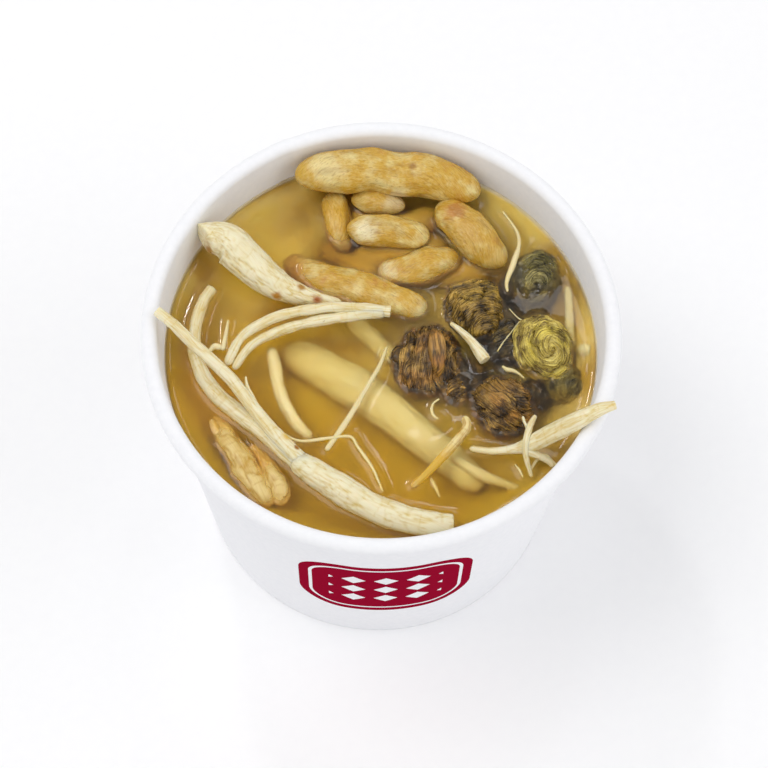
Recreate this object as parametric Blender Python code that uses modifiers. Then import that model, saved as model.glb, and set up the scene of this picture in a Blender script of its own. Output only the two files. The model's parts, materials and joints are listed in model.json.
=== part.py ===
"""Paper tub of ginseng and chicken soup.

A white paper tub with a rolled rim holds golden broth up to BROTH_LEVEL. Plump meat strips are
heaped at the back, wound herb coils float at the right, and pale ginseng roots lie across the
broth, two of them with their tips on the rim. The origin is the centre of the tub's foot, +Z is up.
Sizes in the tables are millimetres, and MM turns them to metres.
"""

import math
from dataclasses import dataclass
from typing import List, Tuple

import bmesh
import bpy
from mathutils import Euler, Vector, noise

MM = 0.001

# Tub
RIM_RADIUS = 57.5          # outside of the rolled rim
TUB_HEIGHT = 86.25
FOOT_RADIUS = 45.4         # outside of the wall where it stands
RIM_ROLL_RADIUS = 2.0      # the rim is a tube of this radius, rolled outwards
PAPER = 0.8                # wall board
BASE_PAPER = 0.6           # base board
FOOT_CHAMFER = 0.4
HEM_HEIGHT = 5.5           # the wall folds in and up by this much round the base's flange
BASE_TOP = 7.5             # the base disc is set up off the table
TUB_STEPS = 60
ROLL_ANGLES = (135, 90, 45, 0, -45, -90)

# Contents
GAP = 0.3                  # between pieces that touch
BROTH_LEVEL = 74.0
BROTH_SIDES = 60
CUTTER_SPREAD = 0.15       # extra room that a coarse cutter leaves round a piece
CUTTER_COARSER = 4         # a limb's cutter has this many fewer sides and rings
CUTTER_LEAST_SIDES = 6
CUTTER_LEAST_RINGS = 8
COIL_CUTTER_SIDES = 10
COIL_CUTTER_RINGS = 8

# Limbs
ROUTE_STEPS = 10           # samples between two points of a route
END_CROWDING = 0.85        # how much closer the rings stand near a limb's ends
ROUND_END = 1.3            # length of a rounded end, in radii
CUT_END = 0.2              # length of a cut end, in radii

MERGE_DISTANCE = 0.00001

RoutePoint = Tuple[float, float, float, float]


@dataclass(frozen=True)
class Relief:
    """Furrows along a limb, rings round it and lumps, as fractions of its radius."""
    furrows: int = 5
    furrow_depth: float = 0.0
    furrow_twist: float = 0.0      # radians per millimetre
    ring_pitch: float = 4.0        # millimetres
    ring_depth: float = 0.0
    lump_size: float = 7.0         # millimetres
    lump_depth: float = 0.0

    def peak(self) -> float:
        """Largest outward share of the radius."""
        return self.ring_depth + self.lump_depth

    def at(self, run: float, angle: float, phase: float) -> float:
        """Radius factor at a distance along the limb and an angle round it."""
        furrow = 0.5 + 0.5 * math.cos(self.furrows * angle + self.furrow_twist * run + phase)
        ring = math.sin(2.0 * math.pi * run / self.ring_pitch + phase)
        spot = Vector((run / self.lump_size + phase, math.cos(angle), math.sin(angle)))
        lump = noise.noise(spot)
        return 1.0 - self.furrow_depth * furrow + self.ring_depth * ring + self.lump_depth * lump


@dataclass(frozen=True)
class Limb:
    """A tapering closed body along a smooth route of (x, y, rise over the broth, radius)."""
    route: Tuple[RoutePoint, ...]
    sides: int
    rings: int
    relief: Relief
    flatten: float = 1.0           # height over width
    start: float = ROUND_END
    end: float = ROUND_END


@dataclass(frozen=True)
class Coil:
    """A strand wound into a ball: centre, half sizes, and how its winding axis leans."""
    name: str
    centre: Tuple[float, float, float]
    radii: Tuple[float, float, float]
    turns: float
    lean: float                    # degrees off upright
    heading: float                 # degrees round the tub's axis
    colour: Tuple[float, float, float]
    sides: int = 16
    rings: int = 16
    groove: float = 0.16


MEAT = Relief(furrows=4, furrow_depth=0.10, furrow_twist=0.10, ring_pitch=9.0, ring_depth=0.02,
              lump_size=7.0, lump_depth=0.12)
THICK_ROOT = Relief(furrows=5, furrow_depth=0.09, furrow_twist=0.06, ring_pitch=5.0,
                    ring_depth=0.035, lump_size=6.0, lump_depth=0.08)
THIN_ROOT = Relief(furrows=3, furrow_depth=0.06, furrow_twist=0.15, ring_pitch=5.5,
                   ring_depth=0.05, lump_size=5.0, lump_depth=0.08)

MEAT_COLOUR = (0.66, 0.42, 0.12)
ROOT_COLOUR = (0.83, 0.74, 0.50)
SOAKED_ROOT_COLOUR = (0.62, 0.45, 0.17)
BROTH_COLOUR = (0.45, 0.28, 0.05)
PAPER_COLOUR = (0.90, 0.90, 0.91)

MEAT_STRIPS = {
    "meat_back": Limb((
        (-20.5, 44.4, 6.8, 3.6), (-12.0, 46.4, 6.0, 4.6), (0.5, 47.0, 5.0, 4.7),
        (11.5, 46.4, 4.0, 4.6), (21.0, 43.6, 3.2, 3.0)), 12, 18, MEAT, 0.9),
    "meat_short": Limb((
        (-8.4, 39.3, 1.2, 2.4), (-2.0, 39.6, 0.9, 3.2), (4.6, 38.9, 0.3, 2.6)),
        12, 12, MEAT, 0.9),
    "meat_middle": Limb((
        (-9.0, 32.0, 1.9, 2.8), (-3.0, 31.4, 2.0, 3.6), (4.0, 30.6, 1.8, 3.6),
        (10.3, 30.6, 1.2, 2.4)), 12, 14, MEAT, 0.9),
    "meat_front": Limb((
        (-1.0, 22.3, -2.6, 2.6), (6.0, 23.9, -2.2, 3.7), (12.5, 25.0, -2.0, 3.6),
        (18.0, 26.0, -1.8, 2.2)), 12, 14, MEAT, 0.95),
    "meat_long": Limb((
        (-24.5, 25.4, -4.6, 2.4), (-16.5, 20.6, -2.8, 3.9), (-7.5, 17.6, -1.8, 4.0),
        (1.0, 14.9, -1.2, 3.7), (8.6, 11.2, -0.6, 3.0)), 12, 18, MEAT, 0.9),
    "meat_right": Limb((
        (14.2, 37.8, 1.8, 3.0), (19.0, 33.4, 1.6, 4.2), (24.5, 28.4, 1.2, 4.1),
        (28.6, 24.6, 0.6, 2.6)), 12, 14, MEAT, 0.95),
    "meat_sunk": Limb((
        (-14.0, 40.2, -2.0, 2.4), (-13.2, 35.0, -2.4, 2.9), (-11.8, 30.0, -3.4, 2.8),
        (-10.0, 25.6, -4.6, 1.8)), 10, 12, MEAT),
}

ROOTS = {
    "root_thick": (
        Limb((
            (-43.2, 24.4, 8.0, 3.7), (-38.6, 24.2, 6.8, 4.7), (-33.2, 20.4, 4.9, 4.9),
            (-27.4, 16.0, 3.5, 4.2), (-21.2, 13.2, 2.7, 2.9), (-15.0, 11.8, 2.1, 1.9),
            (-9.8, 11.2, 1.6, 1.2)), 12, 20, THICK_ROOT, 1.0, CUT_END),
    ),
    "root_forked": (
        Limb((
            (-20.5, -29.8, 2.0, 2.2), (-15.8, -33.2, 1.7, 3.1), (-9.6, -37.0, 1.5, 3.6),
            (-3.2, -40.8, 1.5, 3.4), (4.0, -43.9, 1.5, 3.3), (11.6, -45.6, 1.5, 3.2),
            (18.2, -45.4, 1.2, 2.2)), 10, 20, THICK_ROOT, 1.0, ROUND_END, CUT_END),
        Limb((
            (-53.6, 1.4, 14.5, 1.2), (-49.2, -1.8, 13.2, 1.4), (-45.4, -4.9, 11.5, 1.5),
            (-40.4, -8.6, 9.2, 1.5), (-35.5, -12.6, 7.2, 1.5), (-31.4, -17.2, 5.6, 1.6),
            (-26.6, -22.6, 4.0, 1.7), (-19.4, -30.0, 2.2, 2.0)), 8, 18, THIN_ROOT, 1.0, CUT_END),
        Limb((
            (-41.8, 15.0, 0.2, 1.4), (-43.8, 11.0, 0.4, 1.5), (-45.2, 4.6, 0.6, 1.6),
            (-45.0, -2.2, 0.8, 1.7), (-42.6, -9.0, 1.0, 1.9), (-38.6, -14.4, 1.2, 2.1),
            (-33.0, -19.2, 1.4, 2.1), (-27.0, -24.0, 1.6, 2.0), (-19.6, -30.2, 1.8, 1.9)),
            8, 20, THIN_ROOT, 1.0, CUT_END),
    ),
    "root_arched": (
        Limb((
            (-37.0, -6.6, 2.4, 1.1), (-33.9, 0.4, 3.2, 1.2), (-29.0, 4.0, 4.1, 1.3),
            (-23.7, 6.2, 4.9, 1.3), (-17.2, 7.6, 5.3, 1.3), (-10.7, 8.5, 5.3, 1.3),
            (-4.0, 8.5, 4.8, 1.4), (2.0, 8.2, 4.4, 1.5)), 8, 18, THIN_ROOT, 1.0, ROUND_END, CUT_END),
        Limb((
            (-35.4, -7.4, 1.8, 1.0), (-31.4, -1.2, 2.3, 1.1), (-25.8, 2.2, 2.8, 1.2),
            (-18.4, 4.8, 3.4, 1.3), (-10.4, 6.4, 3.9, 1.4), (-4.0, 7.4, 4.2, 1.4),
            (1.4, 8.0, 4.3, 1.3)), 8, 16, THIN_ROOT),
    ),
    "root_folded": (
        Limb((
            (-37.4, -17.6, -3.4, 2.2), (-35.2, -22.6, -2.2, 2.8), (-32.6, -28.6, -1.2, 3.0),
            (-30.2, -33.8, -1.0, 3.0), (-27.4, -38.4, -1.2, 2.8), (-24.4, -41.2, -1.6, 2.3)),
            10, 14, THICK_ROOT),
        Limb((
            (-26.2, -30.8, -2.4, 2.0), (-24.0, -34.8, -1.6, 2.7), (-23.0, -38.6, -1.3, 2.6),
            (-24.0, -41.4, -1.6, 2.2)), 10, 10, THICK_ROOT),
    ),
    "root_right": (
        Limb((
            (55.2, -20.2, 15.6, 1.1), (51.4, -21.4, 15.4, 1.6), (46.8, -23.2, 13.3, 2.1),
            (41.4, -24.4, 8.6, 2.3), (36.2, -25.8, 4.4, 2.0), (32.1, -26.3, 2.1, 1.2),
            (27.0, -26.4, 0.9, 0.9), (21.8, -25.6, 0.3, 0.8)), 10, 20, THIN_ROOT, 0.9, CUT_END),
        Limb((
            (37.2, -18.6, 5.0, 0.6), (35.9, -21.6, 5.8, 0.7), (35.0, -25.6, 5.6, 0.9),
            (35.2, -29.0, 3.4, 0.8), (36.6, -32.6, 0.4, 0.6)), 6, 12, THIN_ROOT),
        Limb((
            (35.0, -27.6, 4.2, 0.8), (38.2, -28.4, 3.2, 0.9), (40.6, -29.0, 1.8, 0.8),
            (41.8, -29.8, 0.4, 0.6)), 6, 10, THIN_ROOT),
    ),
    "root_tail": (
        Limb((
            (20.4, -18.4, 2.9, 1.0), (21.0, -21.0, 2.7, 1.1), (19.4, -23.8, 2.4, 1.2),
            (16.8, -27.0, 1.9, 1.2), (13.8, -30.5, 1.3, 1.1), (10.9, -33.6, 0.6, 1.0),
            (8.0, -36.2, -0.4, 0.8)), 8, 16, THIN_ROOT),
    ),
    "root_floating": (
        Limb((
            (-26.8, 0.4, -1.3, 1.3), (-25.6, -4.8, -1.0, 1.5), (-24.4, -10.4, -0.9, 1.5),
            (-22.5, -15.3, -0.9, 1.5), (-19.6, -19.9, -1.0, 1.4), (-16.6, -23.2, -1.3, 1.2)),
            8, 12, THIN_ROOT),
    ),
    "root_hair": (
        Limb((
            (0.0, -4.2, 0.3, 0.7), (-2.7, -9.0, 0.3, 0.8), (-6.0, -16.0, 0.3, 0.8),
            (-9.4, -22.2, 0.3, 0.7), (-12.2, -26.6, 0.2, 0.6)), 6, 10, THIN_ROOT),
    ),
    "root_stub": (
        Limb((
            (15.9, 8.2, 3.2, 0.8), (19.0, 4.4, 2.6, 1.0), (21.8, 0.8, 2.4, 1.1),
            (24.6, -3.0, 2.2, 1.2)), 6, 8, THIN_ROOT, 1.0, ROUND_END, CUT_END),
    ),
}

COILS = (
    Coil("coil_back", (22.6, 13.0, -1.5), (7.0, 6.8, 6.4), 4, 70, 20, (0.10, 0.07, 0.02)),
    Coil("coil_right", (39.2, 2.9, -1.0), (7.0, 7.6, 6.6), 4, 25, 200, (0.22, 0.18, 0.02)),
    Coil("coil_left", (10.8, -1.8, -3.0), (9.2, 7.8, 6.8), 4, 80, 75, (0.17, 0.08, 0.02)),
    Coil("coil_front", (29.9, -13.2, -3.0), (8.2, 7.2, 6.8), 5, 60, 130, (0.20, 0.11, 0.02)),
    Coil("coil_far", (37.8, 22.0, -5.4), (6.2, 6.2, 6.0), 4, 40, 300, (0.12, 0.10, 0.03)),
    Coil("coil_small", (19.2, -10.0, -1.2), (2.4, 3.6, 3.0), 3, 85, 90, (0.30, 0.18, 0.04),
         10, 10),
)


def wall_radius(height: float) -> float:
    """Outside radius of the tub's wall at a height; it widens evenly up to the roll."""
    wall_top = TUB_HEIGHT - RIM_ROLL_RADIUS
    top_radius = RIM_RADIUS - 2.0 * RIM_ROLL_RADIUS + PAPER
    return FOOT_RADIUS + (top_radius - FOOT_RADIUS) * height / wall_top


def material(name: str, colour: Tuple[float, float, float], roughness: float) -> bpy.types.Material:
    """Principled material in one colour."""
    made = bpy.data.materials.new(name)
    made.use_nodes = True
    shader = made.node_tree.nodes["Principled BSDF"]
    shader.inputs["Base Color"].default_value = (*colour, 1.0)
    shader.inputs["Roughness"].default_value = roughness
    shader.inputs["Metallic"].default_value = 0.0
    return made


def add_object(name: str, mesh: bpy.types.Mesh, group: bpy.types.Collection,
               dress: bpy.types.Material = None) -> bpy.types.Object:
    """Link a mesh into a collection under a name, shaded smooth."""
    made = bpy.data.objects.new(name, mesh)
    group.objects.link(made)
    mesh.shade_smooth()
    if dress is not None:
        mesh.materials.append(dress)
    return made


def turned(name: str, profile: List[Tuple[float, float]], group: bpy.types.Collection,
           dress: bpy.types.Material) -> bpy.types.Object:
    """Turn a closed (radius, height) profile in millimetres round the tub's axis."""
    mesh = bpy.data.meshes.new(name)
    count = len(profile)
    edges = [(i, (i + 1) % count) for i in range(count)]
    on_axis = profile[0][0] == 0.0 and profile[-1][0] == 0.0
    if on_axis:
        edges.pop()
    mesh.from_pydata([(r * MM, 0.0, z * MM) for r, z in profile], edges, [])
    made = add_object(name, mesh, group, dress)
    screw = made.modifiers.new("Turn", "SCREW")
    screw.angle = 2.0 * math.pi
    screw.steps = TUB_STEPS
    screw.render_steps = TUB_STEPS
    screw.use_merge_vertices = True
    screw.merge_threshold = MERGE_DISTANCE
    screw.use_smooth_shade = True
    return made


def build_wall(group: bpy.types.Collection, dress: bpy.types.Material) -> bpy.types.Object:
    """Side wall in one piece: rolled rim, tapered wall, and a hem folded up inside the foot."""
    roll_centre = (RIM_RADIUS - RIM_ROLL_RADIUS, TUB_HEIGHT - RIM_ROLL_RADIUS)
    roll = [(roll_centre[0] + RIM_ROLL_RADIUS * math.cos(math.radians(a)),
             roll_centre[1] + RIM_ROLL_RADIUS * math.sin(math.radians(a))) for a in ROLL_ANGLES]
    under_roll = TUB_HEIGHT - 2.0 * RIM_ROLL_RADIUS
    pocket = PAPER + 2.0 * GAP + BASE_PAPER
    outside = roll + [
        (wall_radius(under_roll), under_roll),
        (wall_radius(FOOT_CHAMFER), FOOT_CHAMFER),
        (wall_radius(0.0) - FOOT_CHAMFER, 0.0),
    ]
    hem = [
        (wall_radius(0.0) - pocket - PAPER, 0.0),
        (wall_radius(HEM_HEIGHT) - pocket - PAPER, HEM_HEIGHT),
        (wall_radius(HEM_HEIGHT) - pocket, HEM_HEIGHT),
        (wall_radius(PAPER) - pocket, PAPER),
    ]
    inside = [
        (wall_radius(PAPER) - PAPER, PAPER),
        (RIM_RADIUS - 2.0 * RIM_ROLL_RADIUS, roll_centre[1]),
    ]
    return turned("tub_wall", outside + hem + inside, group, dress)


def build_base(group: bpy.types.Collection, dress: bpy.types.Material) -> bpy.types.Object:
    """Base disc with a flange turned down into the hem."""
    under = BASE_TOP - BASE_PAPER
    foot = PAPER + GAP
    reach = PAPER + GAP        # from the wall's outside to the flange
    profile = [
        (0.0, BASE_TOP),
        (wall_radius(BASE_TOP) - reach, BASE_TOP),
        (wall_radius(foot) - reach, foot),
        (wall_radius(foot) - reach - BASE_PAPER, foot),
        (wall_radius(under) - reach - BASE_PAPER, under),
        (0.0, under),
    ]
    return turned("tub_base", profile, group, dress)


class Route:
    """Smooth curve through route points, measured along its length in millimetres."""

    def __init__(self, points: Tuple[RoutePoint, ...]) -> None:
        """Sample a Catmull-Rom curve through the points, radius included."""
        rows = [Vector((x, y, BROTH_LEVEL + rise)) for x, y, rise, _ in points]
        radii = [radius for *_, radius in points]
        self.places = [rows[0]]
        self.radii = [radii[0]]
        for i in range(len(rows) - 1):
            before = max(i - 1, 0)
            after = min(i + 2, len(rows) - 1)
            for step in range(1, ROUTE_STEPS + 1):
                t = step / ROUTE_STEPS
                weights = (
                    -0.5 * t + t * t - 0.5 * t ** 3,
                    1.0 - 2.5 * t * t + 1.5 * t ** 3,
                    0.5 * t + 2.0 * t * t - 1.5 * t ** 3,
                    -0.5 * t * t + 0.5 * t ** 3,
                )
                ends = (before, i, i + 1, after)
                place = Vector((0.0, 0.0, 0.0))
                for weight, index in zip(weights, ends):
                    place += weight * rows[index]
                self.places.append(place)
                self.radii.append(sum(w * radii[k] for w, k in zip(weights, ends)))
        self.runs = [0.0]
        for a, b in zip(self.places, self.places[1:]):
            self.runs.append(self.runs[-1] + (b - a).length)
        self.length = self.runs[-1]

    def at(self, run: float) -> Tuple[Vector, Vector, float]:
        """Place, direction and radius at a distance along the curve, straight on past its ends."""
        last = len(self.runs) - 2
        index = 0
        while index < last and self.runs[index + 1] < run:
            index += 1
        span = self.runs[index + 1] - self.runs[index]
        share = (run - self.runs[index]) / span
        a, b = self.places[index], self.places[index + 1]
        held = min(max(share, 0.0), 1.0)
        radius = self.radii[index] + (self.radii[index + 1] - self.radii[index]) * held
        return a + (b - a) * share, (b - a).normalized(), radius


def limb_mesh(name: str, limb: Limb, phase: float, cutter: bool = False) -> bpy.types.Mesh:
    """Bend a sphere onto a limb's route; a cutter is coarser, plain and larger by the gap."""
    route = Route(limb.route)
    sides, rings = limb.sides, limb.rings
    if cutter:
        sides = max(CUTTER_LEAST_SIDES, sides - CUTTER_COARSER)
        rings = max(CUTTER_LEAST_RINGS, rings - CUTTER_COARSER)
    grow = GAP + CUTTER_SPREAD if cutter else 0.0
    round_up = (1.0 + limb.relief.peak()) / math.cos(math.pi / sides) if cutter else 1.0
    length = route.length + 2.0 * grow
    shape = bmesh.new()
    bmesh.ops.create_uvsphere(shape, u_segments=sides, v_segments=rings, radius=1.0)
    for vert in shape.verts:
        share = 1.0 - math.acos(min(max(vert.co.z, -1.0), 1.0)) / math.pi
        angle = math.atan2(vert.co.y, vert.co.x)
        share -= END_CROWDING * math.sin(2.0 * math.pi * share) / (2.0 * math.pi)
        run = share * length - grow
        place, ahead, radius = route.at(run)
        aside = Vector((0.0, 0.0, 1.0)).cross(ahead).normalized()
        up = ahead.cross(aside)
        radius = radius * round_up + grow
        from_start = (run + grow) / (limb.start * radius)
        from_end = (length - run - grow) / (limb.end * radius)
        nearest = max(min(from_start, from_end, 1.0), 0.0)
        radius *= math.sqrt(1.0 - (1.0 - nearest) ** 2)
        if not cutter:
            radius *= limb.relief.at(run, angle, phase)
        across = aside * math.cos(angle) + up * (math.sin(angle) * limb.flatten)
        vert.co = (place + across * radius) * MM
    mesh = bpy.data.meshes.new(name)
    shape.to_mesh(mesh)
    shape.free()
    return mesh


def fuse(base: bpy.types.Object, others: List[bpy.types.Object]) -> None:
    """Join crossing limbs into one closed body."""
    branches = bpy.data.collections.new(base.name + "_branches")
    bpy.context.scene.collection.children.link(branches)
    for other in others:
        for holder in list(other.users_collection):
            holder.objects.unlink(other)
        branches.objects.link(other)
    join = base.modifiers.new("Join", "BOOLEAN")
    join.operation = "UNION"
    join.operand_type = "COLLECTION"
    join.collection = branches
    bpy.context.view_layer.update()
    graph = bpy.context.evaluated_depsgraph_get()
    joined = bpy.data.meshes.new_from_object(base.evaluated_get(graph))
    base.modifiers.remove(join)
    base.data = joined
    for other in others:
        bpy.data.objects.remove(other)
    bpy.data.collections.remove(branches)


def build_limbs(name: str, limbs: Tuple[Limb, ...], dress: bpy.types.Material,
                group: bpy.types.Collection, cutters: bpy.types.Collection) -> None:
    """One node from one or more limbs, with a cutter for each."""
    made = []
    for index, limb in enumerate(limbs):
        phase = float(len(name) + 2 * index)
        label = name if index == 0 else "%s_branch_%d" % (name, index)
        made.append(add_object(label, limb_mesh(label, limb, phase), group, dress))
        add_object("cut_" + label, limb_mesh("cut_" + label, limb, phase, True), cutters)
    if len(made) > 1:
        fuse(made[0], made[1:])


def coil_mesh(name: str, coil: Coil, cutter: bool = False) -> bpy.types.Mesh:
    """A ball grooved by its winding; a cutter is plain and larger by the gap."""
    shape = bmesh.new()
    sides = COIL_CUTTER_SIDES if cutter else coil.sides
    rings = COIL_CUTTER_RINGS if cutter else coil.rings
    bmesh.ops.create_uvsphere(shape, u_segments=sides, v_segments=rings, radius=1.0)
    spread = 1.0 / math.cos(math.pi / sides)
    for vert in shape.verts:
        polar = math.acos(min(max(vert.co.z, -1.0), 1.0))
        around = math.atan2(vert.co.y, vert.co.x)
        wind = abs(math.cos(coil.turns * polar + 0.5 * around))
        for axis in range(3):
            if cutter:
                vert.co[axis] *= (coil.radii[axis] * spread + GAP) * MM
            else:
                vert.co[axis] *= coil.radii[axis] * (1.0 - coil.groove * (1.0 - wind)) * MM
    mesh = bpy.data.meshes.new(name)
    shape.to_mesh(mesh)
    shape.free()
    return mesh


def build_coil(coil: Coil, group: bpy.types.Collection, cutters: bpy.types.Collection) -> None:
    """One wound ball and its cutter, leaning by its winding axis."""
    x, y, rise = coil.centre
    dress = material(coil.name, coil.colour, 0.4)
    for made in (add_object(coil.name, coil_mesh(coil.name, coil), group, dress),
                 add_object("cut_" + coil.name, coil_mesh("cut_" + coil.name, coil, True), cutters)):
        made.location = Vector((x, y, BROTH_LEVEL + rise)) * MM
        made.rotation_euler = Euler((math.radians(coil.lean), 0.0, math.radians(coil.heading)))


def build_broth(group: bpy.types.Collection, cutters: bpy.types.Collection) -> bpy.types.Object:
    """Broth from the base disc up to its level, cut round each piece that breaks its surface."""
    bottom = BASE_TOP + GAP
    inset = PAPER + GAP
    bpy.ops.mesh.primitive_cone_add(
        vertices=BROTH_SIDES,
        radius1=(wall_radius(bottom) - inset) * MM,
        radius2=(wall_radius(BROTH_LEVEL) - inset) * MM,
        depth=(BROTH_LEVEL - bottom) * MM,
        end_fill_type="NGON",
        location=(0.0, 0.0, 0.5 * (BROTH_LEVEL + bottom) * MM))
    broth = bpy.context.object
    broth.name = "broth"
    for holder in list(broth.users_collection):
        holder.objects.unlink(broth)
    group.objects.link(broth)
    broth.data.materials.append(material("broth", BROTH_COLOUR, 0.08))
    cut = broth.modifiers.new("Cut round pieces", "BOOLEAN")
    cut.operation = "DIFFERENCE"
    cut.operand_type = "COLLECTION"
    cut.collection = cutters
    return broth


def clear_scene() -> None:
    """Remove the objects that a new file starts with."""
    for old in list(bpy.data.objects):
        bpy.data.objects.remove(old)


def main() -> None:
    """Build the tub, the broth and each piece in it."""
    clear_scene()
    soup = bpy.data.collections.new("soup_tub")
    cutters = bpy.data.collections.new("cutters")
    for group in (soup, cutters):
        bpy.context.scene.collection.children.link(group)
    paper = material("paper", PAPER_COLOUR, 0.45)
    build_wall(soup, paper)
    build_base(soup, paper)
    for name, limb in MEAT_STRIPS.items():
        build_limbs(name, (limb,), material(name, MEAT_COLOUR, 0.35), soup, cutters)
    for name, limbs in ROOTS.items():
        colour = SOAKED_ROOT_COLOUR if name in ("root_folded", "root_tail") else ROOT_COLOUR
        build_limbs(name, limbs, material(name, colour, 0.45), soup, cutters)
    for coil in COILS:
        build_coil(coil, soup, cutters)
    build_broth(soup, cutters)
    for cutter in cutters.objects:
        cutter.hide_render = True
        cutter.display_type = "WIRE"


main()
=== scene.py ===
"""Looks of the ginseng chicken soup: coated paper tub, cloudy broth, roots, meat strips and coils.

Sizes in the tables are millimetres in the frame's axes, and MM turns them to metres. A route point
is (x, y, rise over the broth, radius). The broth level and the rim are read from the frame.
"""

import itertools
import json
import logging
import math
from dataclasses import dataclass, field, replace
from enum import Enum
from typing import Dict, Iterable, List, Optional, Sequence, Tuple, Union

import bpy
import numpy as np
from mathutils import Euler, Matrix, Vector
from mathutils.bvhtree import BVHTree

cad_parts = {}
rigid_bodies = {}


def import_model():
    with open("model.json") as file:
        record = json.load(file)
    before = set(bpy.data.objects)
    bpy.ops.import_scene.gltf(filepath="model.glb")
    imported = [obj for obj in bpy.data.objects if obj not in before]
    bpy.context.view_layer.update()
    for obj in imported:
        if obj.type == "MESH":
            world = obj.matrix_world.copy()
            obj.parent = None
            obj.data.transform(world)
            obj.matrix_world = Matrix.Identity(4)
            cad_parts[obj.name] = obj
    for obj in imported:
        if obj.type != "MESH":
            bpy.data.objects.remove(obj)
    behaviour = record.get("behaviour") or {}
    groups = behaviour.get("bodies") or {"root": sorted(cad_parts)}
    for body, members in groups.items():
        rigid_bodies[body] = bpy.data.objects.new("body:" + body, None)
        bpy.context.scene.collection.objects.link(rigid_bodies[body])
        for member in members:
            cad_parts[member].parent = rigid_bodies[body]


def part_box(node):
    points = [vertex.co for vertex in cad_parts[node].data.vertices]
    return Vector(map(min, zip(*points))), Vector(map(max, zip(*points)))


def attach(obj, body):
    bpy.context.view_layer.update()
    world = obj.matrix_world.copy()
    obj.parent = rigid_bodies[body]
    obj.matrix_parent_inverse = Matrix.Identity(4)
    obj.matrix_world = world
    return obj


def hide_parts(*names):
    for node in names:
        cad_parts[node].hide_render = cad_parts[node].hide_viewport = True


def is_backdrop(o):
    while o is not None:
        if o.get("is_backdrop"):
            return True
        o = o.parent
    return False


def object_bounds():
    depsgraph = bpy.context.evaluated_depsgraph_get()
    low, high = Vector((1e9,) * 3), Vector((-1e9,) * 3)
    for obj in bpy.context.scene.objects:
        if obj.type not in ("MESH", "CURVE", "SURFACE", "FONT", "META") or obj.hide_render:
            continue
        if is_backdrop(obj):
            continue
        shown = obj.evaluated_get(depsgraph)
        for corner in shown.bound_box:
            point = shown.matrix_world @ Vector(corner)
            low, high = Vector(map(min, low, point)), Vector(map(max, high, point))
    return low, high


LOG = logging.getLogger("soup")

MM = 0.001
SKIN_MAP = "skin"              # UV map in metres: along the piece, and round it
CAVITY = "cavity"              # vertex attribute, 1 at the bottom of a furrow; the finishes darken by it as painted shade, and on the swept fibres it holds a random darkness of each fibre
BODY = "root"
TEAR_MM = 2.6                  # size of the tears in a mark's edge
DULL = 0.9                     # roughness of what the broth veils
ROUND_FIRST = ((0, 0), (0, 1), (1, 1), (1, 0))     # a quad's corners as (ring, place in the ring)
ALONG_FIRST = ((0, 0), (1, 0), (1, 1), (0, 1))
BACK_FIRST = ((0, 1), (0, 0), (1, 0), (1, 1))

Socket = bpy.types.NodeSocket
Tree = bpy.types.NodeTree
Material = bpy.types.Material
Piece = bpy.types.Object
RoutePoint = Tuple[float, float, float, float]
Triple = Tuple[float, float, float]
Mark = Tuple[float, float, float, float, str]       # x, y, rise and radius in mm, and the colour
Face = Tuple[int, ...]
SocketValue = Union[Socket, float, Sequence[float]]


# ---------------------------------------------------------------- helpers


def linear(hex_colour: str) -> Tuple[float, float, float, float]:
    """Turn an sRGB hex colour to linear light.

    Args:
        hex_colour: six hex digits, such as "C8A04A".

    Returns:
        Red, green, blue and an alpha of 1.
    """
    channels = []
    for start in (0, 2, 4):
        value = int(hex_colour[start:start + 2], 16) / 255.0
        channels.append(value / 12.92 if value <= 0.04045 else ((value + 0.055) / 1.055) ** 2.4)
    return (channels[0], channels[1], channels[2], 1.0)


def add_node(tree: Tree, kind: str, settings: Optional[Dict[str, object]] = None,
             inputs: Optional[Dict[Union[str, int], SocketValue]] = None) -> bpy.types.Node:
    """Add one node with its settings and links.

    Args:
        tree: the node tree.
        kind: the node's type name.
        settings: properties to set on the node.
        inputs: socket name or index to a value or to the socket that feeds it.

    Returns:
        The new node.
    """
    node = tree.nodes.new(kind)
    for name, value in (settings or {}).items():
        setattr(node, name, value)
    for key, value in (inputs or {}).items():
        socket = node.inputs[key]
        if isinstance(value, Socket):
            tree.links.new(value, socket)
        else:
            socket.default_value = value
    return node


def new_material(name: str, values: Optional[Dict[str, SocketValue]] = None
                 ) -> Tuple[Material, Tree, bpy.types.Node]:
    """Start a material.

    Args:
        name: the material's name.
        values: plain values for its shader's sockets.

    Returns:
        The material, its tree and its Principled shader.
    """
    made = bpy.data.materials.new(name)
    made.use_nodes = True
    tree = made.node_tree
    shader = tree.nodes["Principled BSDF"]
    for socket, value in (values or {}).items():
        shader.inputs[socket].default_value = value
    return made, tree, shader


def eased(share: np.ndarray) -> np.ndarray:
    """Ease shares from 0 to 1 in and out."""
    return share * share * (3.0 - 2.0 * share)


def value_noise(points: np.ndarray, seed: int) -> np.ndarray:
    """Smooth random values from -1 to 1.

    Args:
        points: an array of places, three numbers each, one unit to a bump.
        seed: the draw.

    Returns:
        One value for each place.
    """
    cell = np.floor(points).astype(np.int64)
    part = eased(points - cell)
    total = np.zeros(len(points))
    mask = 0xFFFFFFFF
    for corner in itertools.product((0, 1), repeat=3):
        at = cell + np.array(corner)
        mixed = (at[:, 0] * 73856093) ^ (at[:, 1] * 19349663) ^ (at[:, 2] * 83492791)
        mixed = (mixed ^ (seed * 668265263)) & mask
        mixed = ((mixed ^ (mixed >> 13)) * 1274126177) & mask
        mixed = (mixed ^ (mixed >> 16)) & mask
        weight = np.ones(len(points))
        for axis, high in enumerate(corner):
            weight *= part[:, axis] if high else 1.0 - part[:, axis]
        total += weight * (mixed / 2147483648.0 - 1.0)
    return total


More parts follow.
